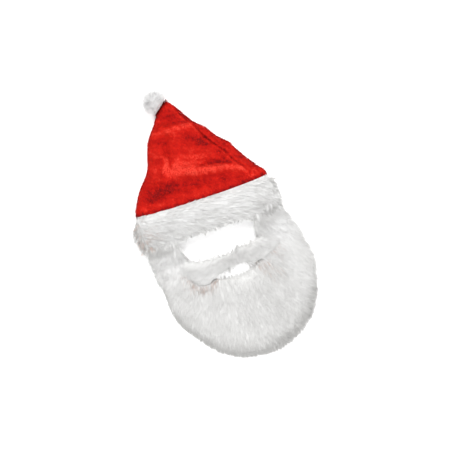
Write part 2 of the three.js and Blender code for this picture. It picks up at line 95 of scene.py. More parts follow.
def through(rows, share):
    """Smooth values between a table's rows by share of its length: a Catmull-Rom curve per column."""
    rows = np.asarray(rows, float)
    place = np.clip(share, 0, 1) * (len(rows) - 1)
    i = np.minimum(place.astype(int), len(rows) - 2)
    t = (place - i)[..., None]
    a, b, c, d = (rows[np.clip(i + k, 0, len(rows) - 1)] for k in (-1, 0, 1, 2))
    return b + 0.5 * t * (c - a + t * (2 * a - 5 * b + 4 * c - d + t * (3 * (b - c) + d - a)))


def ease(x, low, high):
    """A smooth step from 0 at low to 1 at high: three squares minus two cubes."""
    t = np.clip((x - low) / (high - low), 0, 1)
    return t * t * (3 - 2 * t)


def between(x, start, full, fade, end):
    """A smooth step up from start to full, times a smooth step down from fade to end."""
    return ease(x, start, full) * (1 - ease(x, fade, end))


def bell(distance, width):
    """A bell curve: e to the minus square of distance over width."""
    return np.exp(-((distance / width) ** 2))


def bells(x, y, lines):
    """A sum over a table of lines: a bell curve of the distance from each, as wide and high as given."""
    total = np.zeros_like(x)
    for x0, y0, x1, y1, width, height in lines:
        line = np.array([x1 - x0, y1 - y0], float)
        nearest = np.clip(((x - x0) * line[0] + (y - y0) * line[1]) / (line @ line), 0, 1)
        distance = np.hypot(x - x0 - nearest * line[0], y - y0 - nearest * line[1])
        total += height * bell(distance, width)
    return total


def drift(x, y, size, seed):
    """A smooth random field, about -1 to 1: the mean of plane waves about size apart, headed all ways."""
    rng = np.random.default_rng(seed)
    heading, phase = rng.uniform(0, 2 * np.pi, (2, DRIFT_WAVES))
    pitch = 2 * np.pi / (size * rng.uniform(*DRIFT_SPREAD, DRIFT_WAVES))
    along_x = np.multiply.outer(x, np.cos(heading) * pitch)
    along_y = np.multiply.outer(y, np.sin(heading) * pitch)
    return 2 * np.sin(along_x + along_y + phase).mean(-1)


def sleeve(left, right, lift, loft, fold, turn, grow=0.0):
    """A flattened tube. turn 0 to 1 crosses the front from the left fold to the right one, 1 to 2 comes
    back underneath. Across goes with half of one minus the cosine of the half turns, the front's height
    with a power of their sine, and the back's falls from the folds to flat. grow moves it outwards."""
    angle = np.pi * turn
    across = (1 - np.cos(angle)) / 2
    rise = np.abs(np.sin(angle))
    span = right - left
    width = np.linalg.norm(span, axis=-1, keepdims=True)
    share = ((width + 2 * grow) * across[..., None] - grow) / width
    place = left + span * share
    front = lift + fold + (loft - fold + grow) * rise**FRONT_ROUND
    back = lift + fold - (fold + grow) * np.minimum(1, BACK_FLAT * rise)
    return np.concatenate([place, np.where(turn <= 1, front, back)[..., None]], -1)


def crown_surface(share, turn, grow):
    """The crown by share of its length and turn round it: the sleeve of its table, with the folds, small
    crumples and the seam's groove on its front, fading out at its side folds and above the band."""
    row = through(CROWN_ROWS, share)[:, None, :]
    turn = np.broadcast_to(turn, (len(share), len(turn)))
    lift = np.maximum(0, row[..., 4])
    points = sleeve(row[..., 0:2], row[..., 2:4], lift, row[..., 5], CROWN_FOLD, turn, grow)
    x, y = points[..., 0], points[..., 1]
    held = ease(y, FOLDS_START, FOLDS_FULL)
    width = np.linalg.norm(row[..., 2:4] - row[..., 0:2], axis=-1)
    from_seam = (1 + np.cos(np.pi * turn)) / 2 * width - row[..., 6]
    pucker = 1 + SEAM_PUCKER * drift(x, y, 14, 3)
    groove = SEAM_DEPTH * pucker * bell(from_seam, SEAM_WIDTH)
    lip = LIP_HEIGHT * bell(from_seam + LIP_FROM_SEAM, LIP_WIDTH)
    relief = bells(x, y, CROWN_FOLDS) - groove + lip
    crumple = CRUMPLE * (drift(x, y, 26, 1) + 0.5 * drift(x, y, 11, 2))
    fade = np.sqrt(np.maximum(0, np.sin(np.pi * turn))) * (turn <= 1)
    points[..., 2] += fade * (held * relief + (CRUMPLE_AT_BAND + held) * crumple)
    return points


def ring_quads(rows, columns, first=0):
    """Quads between successive rings of a grid. They face out where the columns run round to the left."""
    ring = np.arange(columns)
    a = (np.arange(rows - 1)[:, None] * columns + ring).ravel() + first
    b = (np.arange(rows - 1)[:, None] * columns + (ring + 1) % columns).ravel() + first
    return np.stack([a, b, b + columns, a + columns], -1)


def solid(name, points, faces, material):
    """A piece from points in millimetres and faces of any size, shaded smooth."""
    mesh = bpy.data.meshes.new(name)
    corners = [list(map(int, face)) for face in faces]
    mesh.from_pydata((points.reshape(-1, 3) * MM).tolist(), [], corners)
    mesh.polygons.foreach_set("use_smooth", np.ones(len(mesh.polygons), bool))
    mesh.materials.append(material)
    mesh.update()
    piece = bpy.data.objects.new(name, mesh)
    bpy.context.collection.objects.link(piece)
    return piece


def material_named(name, roughness, sheen=0.0, sheen_tint=(1, 1, 1), specular=0.3):
    """A material with its Principled shader, whose plain values are set on the shader's own sockets."""
    material = bpy.data.materials.new(name)
    material.use_nodes = True
    shader = material.node_tree.nodes["Principled BSDF"]
    shader.inputs["Roughness"].default_value = roughness
    shader.inputs["Specular IOR Level"].default_value = specular
    shader.inputs["Sheen Weight"].default_value = sheen
    shader.inputs["Sheen Tint"].default_value = (*sheen_tint, 1)
    return material, material.node_tree, shader


def noise(tree, size, detail=2.0, stretch=(1, 1, 1)):
    """Noise on Object coordinates with features about size millimetres wide, stretched on its axes."""
    place = tree.nodes.new("ShaderNodeTexCoord")
    mapping = tree.nodes.new("ShaderNodeMapping")
    mapping.inputs["Scale"].default_value = [1 / (size * MM * s) for s in stretch]
    pattern = tree.nodes.new("ShaderNodeTexNoise")
    pattern.inputs["Scale"].default_value = 1.0
    pattern.inputs["Detail"].default_value = detail
    tree.links.new(place.outputs["Object"], mapping.inputs["Vector"])
    tree.links.new(mapping.outputs["Vector"], pattern.inputs["Vector"])
    return pattern.outputs["Fac"]


def ramp(tree, value, stops):
    """A colour by value: stops are places from 0 to 1 and their colours."""
    node = tree.nodes.new("ShaderNodeValToRGB")
    elements = node.color_ramp.elements
    while len(elements) < len(stops):
        elements.new(0.5)
    for element, (place, colour) in zip(elements, stops):
        element.position = place
        element.color = (*colour, 1)
    tree.links.new(value, node.inputs["Fac"])
    return node.outputs["Color"]


def mixed(tree, kind, factor, a, b):
    """Two colours mixed by a kind of blend: each of factor, a and b is a socket or a plain value."""
    node = tree.nodes.new("ShaderNodeMix")
    node.data_type = "RGBA"
    node.blend_type = kind
    for socket, value in ((node.inputs[0], factor), (node.inputs[6], a), (node.inputs[7], b)):
        if isinstance(value, bpy.types.NodeSocket):
            tree.links.new(value, socket)
        else:
            socket.default_value = value
    return node.outputs[2]


def bumped(tree, shader, height, depth):
    """Small relief under a shader's normal: height from 0 to 1 is a depth in millimetres."""
    bump = tree.nodes.new("ShaderNodeBump")
    bump.inputs["Distance"].default_value = depth * MM
    tree.links.new(height, bump.inputs["Height"])
    tree.links.new(bump.outputs["Normal"], shader.inputs["Normal"])


# The knit's ribs and rows are so wide. A wave texture of scale 1 repeats at each wave unit.
RIB, COURSE, KNIT_RELIEF = 1.8, 1.3, 0.5
WAVE_UNIT, WAVE_WOBBLE = 0.314, 1.5


def knit_material(name, dark, light):
    """A plain knitted ground: fine upright ribs crossed by finer rows, on Object coordinates."""
    material, tree, shader = material_named(name, roughness=0.9, sheen=0.15, specular=0.1)
    place = tree.nodes.new("ShaderNodeTexCoord")
    heights = []
    for direction, size in (("X", RIB), ("Y", COURSE)):
        wave = tree.nodes.new("ShaderNodeTexWave")
        wave.bands_direction = direction
        wave.inputs["Scale"].default_value = WAVE_UNIT / (size * MM)
        wave.inputs["Distortion"].default_value = WAVE_WOBBLE
        tree.links.new(place.outputs["Object"], wave.inputs["Vector"])
        heights.append(wave.outputs["Color"])
    loops = mixed(tree, "MULTIPLY", 1.0, *heights)
    tree.links.new(mixed(tree, "MIX", loops, (*dark, 1), (*light, 1)), shader.inputs["Base Color"])
    bumped(tree, shader, loops, KNIT_RELIEF)
    return material


PLUSH_DARK, PLUSH_DEEP = (0.20, 0.004, 0.005), (0.42, 0.005, 0.004)
PLUSH_RED, PLUSH_LIGHT = (0.62, 0.014, 0.007), (0.88, 0.066, 0.041)
PLUSH_SHEEN = {"sheen": 0.1, "sheen_tint": (1, 0.15, 0.1), "specular": 0.08}
plush, plush_tree, plush_shader = material_named("red_plush_cloth", roughness=0.85, **PLUSH_SHEEN)
plush_patches = ramp(plush_tree, noise(plush_tree, 22, 4), [(0.25, PLUSH_DEEP), (0.6, PLUSH_RED)])
plush_tree.links.new(plush_patches, plush_shader.inputs["Base Color"])
bumped(plush_tree, plush_shader, noise(plush_tree, 1.6, 3), 0.8)

turns = np.linspace(0, 2, CROWN_GRID[1], endpoint=False)
crown_skin = crown_surface(np.linspace(0, 1, CROWN_GRID[0]), turns, -PLUSH_INSET)
inside_share = np.linspace(0, CROWN_INSIDE_END, CROWN_INSIDE_ROWS)[::-1]
crown_inside = crown_surface(inside_share, turns, -PLUSH_WALL)
ring = np.arange(CROWN_GRID[1])
outer_count = CROWN_GRID[0] * CROWN_GRID[1]
inner_last = outer_count + (CROWN_INSIDE_ROWS - 1) * CROWN_GRID[1] + ring
crown_outer_faces = [
    *ring_quads(CROWN_GRID[0], CROWN_GRID[1]),
    outer_count - CROWN_GRID[1] + ring,
    *np.stack([inner_last, np.roll(inner_last, -1), np.roll(ring, -1), ring], -1),
]
crown_inner_faces = [
    *ring_quads(CROWN_INSIDE_ROWS, CROWN_GRID[1], outer_count),
    outer_count + ring[::-1],
]
crown_points = np.concatenate([crown_skin.reshape(-1, 3), crown_inside.reshape(-1, 3)])
crown_cloth = solid("crown_cloth", crown_points, crown_outer_faces + crown_inner_faces, plush)
crown_cloth.data.materials.append(knit_material("red_knit", PLUSH_DARK, PLUSH_RED))
inside_out = np.repeat([0, 1], [len(crown_outer_faces), len(crown_inner_faces)])
crown_cloth.data.polygons.foreach_set("material_index", inside_out)
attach(crown_cloth, "root")
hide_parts("crown")

# Crown pile: the plush's short red hairs, brushed down from the tip and ruffled in patches. Their tone
# varies at random and carries painted highlights and painted shade. They are knitted into the crown's
# cloth.
PILE_COUNT, PILE_LENGTH, PILE_WIDTH = 36000, 4.2, 1.3
PILE_CUT, PILE_LIFT, PILE_TONE = (0.6, 1.15), (0.12, 0.5), 0.47
PILE_BACK, PILE_FIRST_ROW = 0.3, 2
# A surface lies underneath where its outward direction is lower than this
UNDERNEATH = -0.3
# Lines of painted highlight and painted shade on the pile, along the crown's folds and creases
PAINTED_FOLD_LIGHT = [
    # The fold across the middle
    (-48, 111, 8, 108, 15, 0.30),
    (30, 116, 58, 108, 12, 0.15),
    (-40, 94, -10, 90, 9, 0.32),
    (-15, 89, 25, 85, 5, 0.28),
    (25, 85, 65, 75, 5, 0.34),
    (65, 75, 92, 63, 4, 0.32),
    (92, 63, 116, 47, 4, 0.12),
    (0, 78, 34, 76, 7, 0.24),
    (18, 98, 25, 96, 3, 0.20),
    (19, 93, 55, 88, 3, -0.45),
    (55, 88, 78, 80, 4, -0.40),
    (-15, 75, 65, 60, 4, -0.12),
    (65, 60, 99, 46, 4, -0.22),
    (98, 54, 103, 48, 4, -0.20),
    # Below that fold, down to the band
    (-55, 69, -14, 66, 12, -0.26),
    (12, 62, 45, 62, 9, -0.12),
    (-105, 66, -68, 72, 13, -0.34),
    (-104, 56, -62, 54, 8, -0.26),
    (50, 50, 88, 45, 8, -0.24),
    (102, 48, 128, 40, 8, 0.22),
    (-120, 45, -78, 44, 6, 0.18),
    (-15, 45, 25, 44, 8, 0.10),
    # The hooked crease at the left and the crease above it
    (-62, 136, -54, 134, 3.2, 0.18),
    (-52, 133, -44, 127, 3.2, 0.32),
    (-43, 124, -47, 114, 3.2, 0.36),
    (-49, 110, -55, 102, 3.2, 0.24),
    (-36, 128, -41, 110, 3, -0.25),
    (-56, 126, -61, 106, 6, -0.25),
    (-70, 132, -56, 129, 6, -0.26),
    (-61, 97, -58, 88, 7, -0.28),
    (-72, 112, -62, 109, 5, 0.18),
    (-37, 158, -39, 140, 5, -0.22),
    (-66, 156, -64, 142, 12, 0.10),
    # The upper fold and the tip
    (-48, 181, 20, 176, 8, 0.10),
    (-55, 181, -25, 177, 4, 0.10),
    (-25, 177, -5, 181, 4, 0.14),
    (-5, 180, 25, 174, 4, 0.12),
    (3, 186, 20, 183, 4, -0.20),
    (-45, 189, 20, 187, 5, -0.30),
    (-34, 166, -18, 164, 10, 0.10),
    (-58, 166, -48, 163, 9, -0.32),
    (-18, 212, -6, 205, 12, -0.35),
    (-37, 215, -12, 236, 4, -0.6),
    # Beside the seam
    (10, 150, 30, 142, 14, -0.28),
    (36, 138, 60, 110, 7, -0.34),
    (60, 110, 77, 80, 5, -0.36),
]
# Places x and y that the seam passes, from the tip down
SEAM_LINE = [(1, 219), (13, 197), (27, 175), (41, 145), (55, 125)]
SEAM_LINE += [(69, 107), (79, 87), (89, 71), (104, 50)]
# Its painted shade line and painted highlight ridge: width, tone, places right and left of the seam, and
# the most they add
LINE_WIDTH, SEAM_SHADE_TONE = 2.4, -0.45
SEAM_SHADOW, SEAM_HIGHLIGHT = 2.0, 1.8
SEAM_DARKEST, SEAM_HIGHLIGHT_MOST = -0.5, 0.28
# The raw edge at the tip: the share of the length where it starts, the angle towards the pompom, the
# edge's middle x and y, and half its width
TIP_START, TIP_HEADING = 0.955, 3.88
TIP_MIDDLE, TIP_HALF = (-24.5, 225.5), 16.0


def unit(vectors):
    """Vectors at length 1."""
    return vectors / np.maximum(np.linalg.norm(vectors, axis=-1, keepdims=True), 1e-9)


def scatter(points, count, rng, weight=1.0):
    """Roots spread evenly over a closed grid: quads drawn by area times weight, a random place in each.
    Gives the roots, the surface's outward direction there, and their places by row and column, 0 to 1."""
    right = np.roll(points, -1, 1)
    corner = np.stack([points[:-1], right[:-1], points[1:], right[1:]], -2)
    out = np.cross(corner[..., 3, :] - corner[..., 0, :], corner[..., 2, :] - corner[..., 1, :])
    area = np.linalg.norm(out, axis=-1)
    chance = (area * weight).ravel()
    drawn = rng.choice(chance.size, count, p=chance / chance.sum())
    u, v = rng.random((2, count, 1))
    a, b, c, d = np.moveaxis(corner.reshape(-1, 4, 3)[drawn], 1, 0)
    root = (a * (1 - u) + b * u) * (1 - v) + (c * (1 - u) + d * u) * v
    row, column = np.divmod(drawn, points.shape[1])
    by_row = (row + v[:, 0]) / (points.shape[0] - 1)
    by_column = (column + u[:, 0]) / (points.shape[1] - 1)
    return root, unit(out.reshape(-1, 3)[drawn]), by_row, by_column


def turned(angle):
    """Headings in plan: an angle of 0 points down the hat, to the chin, and grows towards the right."""
    return np.stack([np.sin(angle), -np.cos(angle), np.zeros_like(angle)], -1)


def combed(root, up, heading, length, lift, bends, cling):
    """Paths of combed hairs: along the heading for their length, laid on the surface by the share cling,
    and off it by lift times the length, steeply at the root and level at the tip."""
    cling = np.broadcast_to(cling, len(root))[:, None]
    lay = unit(heading - cling * up * (heading * up).sum(-1, keepdims=True))
    share = np.linspace(0, 1, bends + 1)[None, :, None]
    off = (2 * share - share**2) * lift[:, None, None]
    return root[:, None] + length[:, None, None] * (lay[:, None] * share + up[:, None] * off)


def gathered(path, every, hold, rng, batches=60):
    """Hairs drawn together into locks: one hair in every so many leads, and each hair's tip moves towards
    the tip of the leader whose root is nearest, by the share hold, growing with the square of its length.
    Gives the new paths and a random number from -1 to 1 that the hairs of a lock share."""
    leaders = rng.choice(len(path), max(1, len(path) // every), replace=False)
    lead = path[leaders, 0]
    reach = (lead**2).sum(-1)
    roots = np.array_split(path[:, 0], batches)
    nearest = np.concatenate([np.argmin(reach - 2 * part @ lead.T, 1) for part in roots])
    pull = hold[:, None] * (path[leaders, -1][nearest] - path[:, -1])
    share = np.linspace(0, 1, path.shape[1])[None, :, None]
    return path + pull[:, None] * share**2, rng.uniform(-1, 1, len(leaders))[nearest]


# A hair's height by its width, its narrowing, its least height over the table, and its spread of widths
HAIR_FLAT, HAIR_TAPER, HAIR_FLOOR = 0.5, 0.35, 0.25
HAIR_WIDTHS = (0.75, 1.2)


def hairs(name, path, up, width, tone, material):
    """Closed three-sided hairs, a flat side outwards. path holds each hair's points from root to tip, as
    hairs by points by 3. A small triangle is carried along it and narrows to the tip, where it closes.
    The map holds the hair's tone across and the share of its length upwards, for the colour."""
    count, joints = path.shape[0], path.shape[1] - 1
    path[..., 2] = np.maximum(path[..., 2], HAIR_FLOOR + width[:, None] / 2)
    along = unit(path[:, -1] - path[:, 0])
    side = unit(np.cross(along, up))
    top = np.cross(side, along)
    share = np.linspace(0, 1, joints + 1)
    size = (width / 2)[:, None] * (1 - HAIR_TAPER * share[:-1])
    corners = np.radians([-90, 150, 30])[:, None]
    section = np.cos(corners) * side[:, None] + HAIR_FLAT * np.sin(corners) * top[:, None]
    rings = path[:, :-1, None] + size[..., None, None] * section[:, None]
    points = np.concatenate([rings.reshape(count, -1, 3), path[:, -1:]], 1)
    tip = 3 * joints
    faces = [(0, 2, 1)]
    for first in range(0, tip - 3, 3):
        for a, b in ((0, 1), (1, 2), (2, 0)):
            faces.append((first + a, first + b, first + b + 3))
            faces.append((first + a, first + b + 3, first + a + 3))
    faces += [(tip - 3 + a, tip - 3 + b, tip) for a, b in ((0, 1), (1, 2), (2, 0))]
    faces = np.array(faces)
    corner = (np.arange(count)[:, None, None] * (tip + 1) + faces).ravel()
    mesh = bpy.data.meshes.new(name)
    mesh.vertices.add(count * (tip + 1))
    mesh.vertices.foreach_set("co", (points * MM).ravel())
    mesh.loops.add(corner.size)
    mesh.loops.foreach_set("vertex_index", corner)
    mesh.polygons.add(corner.size // 3)
    mesh.polygons.foreach_set("loop_start", np.arange(0, corner.size, 3))
    mesh.polygons.foreach_set("use_smooth", np.zeros(corner.size // 3, bool))
    mesh.update(calc_edges=True)
    height = np.append(np.repeat(share[:-1], 3), 1.0)
    tone_map = np.stack(np.broadcast_arrays(tone[:, None, None], height[faces][None]), -1)
    mesh.uv_layers.new(name="OFBake").uv.foreach_set("vector", tone_map.ravel())
    mesh.materials.append(material)
    piece = bpy.data.objects.new(name, mesh)
    bpy.context.collection.objects.link(piece)
    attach(piece, "root")
    return piece


# The colour of a hair: by its tone between four colours, and darker towards its root by painted shade. A
# tone below the first value here takes some of the first colour, a tint on the fur and the deepest
# painted shade on the pile, and at the second it is the body's colour.
TINT_AND_DEEP_SHADE_BELOW, PLAIN = 0.2, 0.6
ROOT_END = 0.55
hair_colour = bpy.data.node_groups.new("hair_colour", "ShaderNodeTree")
HAIR_COLOURS = ("Tint_and_deep_shade", "Shade", "Body", "Gloss")
for socket in HAIR_COLOURS:
    hair_colour.interface.new_socket(socket, in_out="INPUT", socket_type="NodeSocketColor")
hair_colour.interface.new_socket("Root", in_out="INPUT", socket_type="NodeSocketFloat")
hair_colour.interface.new_socket("Colour", in_out="OUTPUT", socket_type="NodeSocketColor")
group_in = hair_colour.nodes.new("NodeGroupInput")
group_out = hair_colour.nodes.new("NodeGroupOutput")
hair_map = hair_colour.nodes.new("ShaderNodeUVMap")
hair_map.uv_map = "OFBake"
hair_place = hair_colour.nodes.new("ShaderNodeSeparateXYZ")
hair_colour.links.new(hair_map.outputs["UV"], hair_place.inputs[0])


def spread(value, low, high, start=0.0):
    """A value carried from low..high to start..1 inside the hair's colour, held at its ends."""
    node = hair_colour.nodes.new("ShaderNodeMapRange")
    node.inputs["From Min"].default_value = low
    node.inputs["From Max"].default_value = high
    if isinstance(start, bpy.types.NodeSocket):
        hair_colour.links.new(start, node.inputs["To Min"])
    hair_colour.links.new(value, node.inputs["Value"])
    return node.outputs[0]


hair_tone, hair_height = hair_place.outputs[0], hair_place.outputs[1]
toned = group_in.outputs["Tint_and_deep_shade"]
for socket, low, high in (("Shade", 0.02, TINT_AND_DEEP_SHADE_BELOW), ("Body", TINT_AND_DEEP_SHADE_BELOW, PLAIN), ("Gloss", PLAIN, 1.0)):
    toned = mixed(hair_colour, "MIX", spread(hair_tone, low, high), toned, group_in.outputs[socket])
# Painted shade: each hair is darker towards its root, by the Root value.
root_shade = spread(hair_height, 0.0, ROOT_END, group_in.outputs["Root"])
rooted = mixed(hair_colour, "MULTIPLY", 1.0, toned, root_shade)
hair_colour.links.new(rooted, group_out.inputs["Colour"])


def hair_material(name, colours, root, **shader_values):
    """A hair's finish: its colour from the shared group, its other values on the shader."""
    material, tree, shader = material_named(name, **shader_values)
    node = tree.nodes.new("ShaderNodeGroup")
    node.node_tree = hair_colour
    for socket, colour in zip(HAIR_COLOURS, colours):
        node.inputs[socket].default_value = (*colour, 1)
    node.inputs["Root"].default_value = root
    tree.links.new(node.outputs["Colour"], shader.inputs["Base Color"])
    return material


def coat(name, finish, rng, root, up, heading, length, lift, tone, width=1.0, vary=0.12, bends=1,
         cling=1.0, hold=(0.4, 0.85), locks=14, press=None):
    """A piece of fur: hairs combed from their roots and gathered into locks, each with its own width and
    a tone that varies by lock and a little by hair. Only tinted hairs and hairs in the deepest painted
    shade can end below the first colour's limit."""
    path = combed(root, up, heading, length, lift, bends, cling)
    path, lock = gathered(path, locks, rng.uniform(*hold, len(root)), rng)
    if press:
        path = press(path)
    least = np.where(tone < TINT_AND_DEEP_SHADE_BELOW, 0, TINT_AND_DEEP_SHADE_BELOW)
    tone = np.clip(tone + vary * lock + rng.normal(0, vary / 2, len(root)), least, 1)
    piece = hairs(name, path, up, width * rng.uniform(*HAIR_WIDTHS, len(root)), tone, finish)


PILE_COLOURS = (PLUSH_DARK, PLUSH_DEEP, PLUSH_RED, PLUSH_LIGHT)
pile_finish = hair_material("red_pile", PILE_COLOURS, 0.85, roughness=0.75, **PLUSH_SHEEN)

rng = np.random.default_rng(11)
pile_skin = crown_skin[PILE_FIRST_ROW:]
tip_rows = np.linspace(0, 1, len(pile_skin) - 1)[:, None] > TIP_START
weight = np.where(turns <= 1, 1.0, PILE_BACK) * (1 + 2 * tip_rows)
root, up, row, _ = scatter(pile_skin, PILE_COUNT, rng, weight)
x, y = root[:, 0], root[:, 1]
at_tip = ease(row, TIP_START, 1.0)
angle = 0.9 * drift(x, y, 45, 21) + rng.normal(0, 0.4, PILE_COUNT)
tip_side = (x - TIP_MIDDLE[0]) * -math.cos(TIP_HEADING) - (y - TIP_MIDDLE[1]) * math.sin(TIP_HEADING)
tip_angle = TIP_HEADING - 1.3 * tip_side / TIP_HALF + 0.6 * angle
angle = np.where(at_tip > rng.random(PILE_COUNT), tip_angle, angle)

tone = PILE_TONE + 0.08 * drift(x, y, 34, 22) + 0.12 * drift(x, 0.8 * y, 9, 23)
upright_streaks = drift(x, 0.4 * y, 13, 24) + drift(x, 0.6 * y, 24, 25)
tone += 0.07 * upright_streaks * ease(-y, -100, -80)
# Painted highlights and painted shade along the fold and crease lines, plus a little on the folds' ridges
# and in their hollows
painted_light_and_mottle = bells(x, y, PAINTED_FOLD_LIGHT)
painted_light_and_mottle = np.where(painted_light_and_mottle < 0, 0.75, 1) * painted_light_and_mottle + 0.02 * bells(x, y, CROWN_FOLDS)
seam_parts = [(*start, *end, LINE_WIDTH, SEAM_SHADE_TONE) for start, end in zip(SEAM_LINE, SEAM_LINE[1:])]
# Painted shade beside the seam's groove, then a painted highlight on the ridge left of it
painted_light_and_mottle += np.maximum(SEAM_DARKEST, bells(x - SEAM_SHADOW, y, seam_parts))
painted_light_and_mottle += np.minimum(SEAM_HIGHLIGHT_MOST, -bells(x + SEAM_HIGHLIGHT, y, seam_parts))
seam_x = np.interp(-y, [-place[1] for place in SEAM_LINE], [place[0] for place in SEAM_LINE])
painted_light_and_mottle += ease(x - seam_x, 4, 10) * (0.16 * drift(x, y, 8, 26) - 0.1)
# Painted shade at the tip and along the band's edge, and painted light on the sides where the pile is
# seen edge-on
along_band = 1 - ease(y - 0.0004 * x**2, 29, 38)
at_side = 1 - ease(up[:, 2], 0.0, 0.45)
painted_light_and_mottle -= 0.3 * at_tip + 0.45 * along_band - 0.1 * at_side
tone += painted_light_and_mottle * (up[:, 2] > UNDERNEATH)
length = PILE_LENGTH * rng.uniform(*PILE_CUT, PILE_COUNT) * (1 + 0.8 * at_tip)
lift = rng.uniform(*PILE_LIFT, PILE_COUNT) + 0.4 * (np.abs(up[:, 2]) < 0.4)
coat(
    "crown_pile", pile_finish, rng, root, up, turned(angle), length, lift + 0.7 * at_tip,
    tone, width=PILE_WIDTH, locks=5, hold=(0.0, 0.4),
)

# Band: a strip of long-haired white fur cloth, sewn round the crown's mouth as a tube. Its knitted ground
# and short underhair are this piece; its back is pressed flat by the surface that the hat lies on.
# Columns: y, half width, lift of the back, thickness, height of the side folds, sag of the front
BAND_ROWS = [
    (-34, 140, 5.0, 34, 8.0, 0),
    (-31, 146, 1.5, 43, 11.5, 0),
    (-20, 149, 0.0, 48, 13.0, 0),
    (0, 150, 0.0, 50, 13.0, 0),
    (18, 148, 0.0, 48, 13.0, 3),
    (30, 143, 2.0, 42, 11.0, 7),
    (35, 139, 6.0, 34, 7.0, 8),
]
# The inside: half width, lift of the back, thickness, height of the side folds
mouth_half, mouth_lift, mouth_loft, mouth_fold = 137.3, 8.2, 28.9, 4.8
BAND_GRID = (44, 150)
BAND_INSIDE_ROWS = 16
UNDERHAIR, UNDERHAIR_FLOOR = 4.5, 0.8


def band_surface(share, turn, grow):
    """The band by share from its lower edge to the crown, and turn round it: the sleeve of its table,
    with the front's upper edge hanging lower in the middle."""
    row = through(BAND_ROWS, share)[:, None, :]
    turn = np.broadcast_to(turn, (len(share), len(turn)))
    left = np.stack([-row[..., 1], row[..., 0]], -1)
    right = np.stack([row[..., 1], row[..., 0]], -1)
    points = sleeve(left, right, row[..., 2], row[..., 3], row[..., 4], turn, grow)
    points[..., 1] -= row[..., 5] * np.maximum(0, np.sin(np.pi * turn))
    return points


UNDER_DARK, UNDER_LIGHT = (0.56, 0.55, 0.53), (0.72, 0.715, 0.705)
underhair, under_tree, under_shader = material_named(
    "white_underhair", roughness=0.95, sheen=0.2, specular=0.1
)
under_tone = ramp(under_tree, noise(under_tree, 4, 3), [(0.3, UNDER_DARK), (0.7, UNDER_LIGHT)])
under_tree.links.new(under_tone, under_shader.inputs["Base Color"])
bumped(under_tree, under_shader, noise(under_tree, 2.2, 3, stretch=(1, 2, 1)), 1.0)

band_turns = np.linspace(0, 2, BAND_GRID[1], endpoint=False)
band_skin = band_surface(np.linspace(0, 1, BAND_GRID[0]), band_turns, -UNDERHAIR)
band_skin[..., 2] = np.maximum(band_skin[..., 2], UNDERHAIR_FLOOR)
band_bottom, band_top = BAND_ROWS[0][0], BAND_ROWS[-1][0]
mouth_y = np.linspace(band_top, band_bottom, BAND_INSIDE_ROWS)[:, None] * np.ones(BAND_GRID[1])
mouth_left = np.stack([np.full_like(mouth_y, -mouth_half), mouth_y], -1)
mouth_right = np.stack([np.full_like(mouth_y, mouth_half), mouth_y], -1)
mouth_turn = np.broadcast_to(band_turns, mouth_y.shape)
band_inside = sleeve(mouth_left, mouth_right, mouth_lift, mouth_loft, mouth_fold, mouth_turn)
mouth_sag = BAND_ROWS[-1][5] * ease(mouth_y, 10, band_top)
band_inside[..., 1] -= mouth_sag * np.maximum(0, np.sin(np.pi * mouth_turn))
band_points = np.concatenate([band_skin.reshape(-1, 3), band_inside.reshape(-1, 3)])
band_ring_count = BAND_GRID[0] + BAND_INSIDE_ROWS
first = np.arange(BAND_GRID[1])
last = (band_ring_count - 1) * BAND_GRID[1] + first
band_faces = [
    *ring_quads(band_ring_count, BAND_GRID[1]),
    *np.stack([last, np.roll(last, -1), np.roll(first, -1), first], -1),
]
band_ground = solid("band_ground", band_points, band_faces, underhair)
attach(band_ground, "root")
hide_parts("band")

# Band fur: the strip's long hairs. They are combed from left to right and a little down, swept off the
# left end, and hang over the lower edge as a fringe. Underneath they are pressed flat.
BAND_HAIRS, BAND_HAIR_LENGTH, BAND_BACK = 44000, 25.0, 0.3
BAND_CUT, BAND_LIFT, PRESSED_LIFT = (0.65, 1.1), (0.05, 0.34), 0.01
BAND_TONE, BROWN_SHARE, BROWN_TONE = 0.76, 0.75, 0.1
# The combing's direction in x and y, and the length of its streaks by their width
STREAK_WAY, STREAK_LENGTH = (0.949, -0.315), 6
# Lines of creases, where painted shade darkens the hairs
BAND_CREASE_SHADE = [
    (106, -22, 145, -24, 4, -0.4),
    (92, -12, 118, -26, 5, -0.25),
    (-130, -31, -96, -33, 4, -0.25),
]

FUR_TINT, FUR_SHADE = (0.60, 0.48, 0.43), (0.48, 0.476, 0.466)
FUR_BODY, FUR_GLOSS = (0.70, 0.697, 0.688), (0.86, 0.86, 0.855)
FUR_SHEEN = {"roughness": 0.7, "sheen": 0.1, "specular": 0.15}
FUR_COLOURS = (FUR_TINT, FUR_SHADE, FUR_BODY, FUR_GLOSS)
fur_finish = hair_material("white_fur_hair", FUR_COLOURS, 0.94, **FUR_SHEEN)


def in_fringe(y):
    """A smooth step from 0 on the band to 1 at its lower edge."""
    return ease(-y, 22, 33)


def over_eyes(x):
    """1 along the opening for the eyes, with a smooth step to 0 at both of its ends."""
    return between(x, -88, -66, 74, 92)


def band_comb(x, y):
    """The way the band's hairs are combed, as an angle in plan: to the right and a little down, turning
    down the left end, hanging at the lower edge, and swirling at the right end."""
    angle = 1.2 + 0.2 * drift(x, y, 70, 32) + 0.12 * drift(x, y, 22, 33)
    left_end = ease(-x, 130, 147)
    angle += left_end * (-0.8 + 0.4 * drift(x, y, 30, 34) - angle)
    angle += in_fringe(y) * (-0.45 + 0.5 * drift(x, y, 22, 35) - angle)
    right_tuft = ease(x, 92, 130) * ease(-y, -32, 8)
    return angle + right_tuft * (0.05 + 0.8 * drift(x, y, 22, 36) - angle)


def band_streaks(x, y, size, seed):
    """A random field drawn out along the band's combing: a drift that is longer along it than across."""
    along = STREAK_WAY[0] * x + STREAK_WAY[1] * y
    across = STREAK_WAY[0] * y - STREAK_WAY[1] * x
    return drift(along / STREAK_LENGTH, across, size, seed)


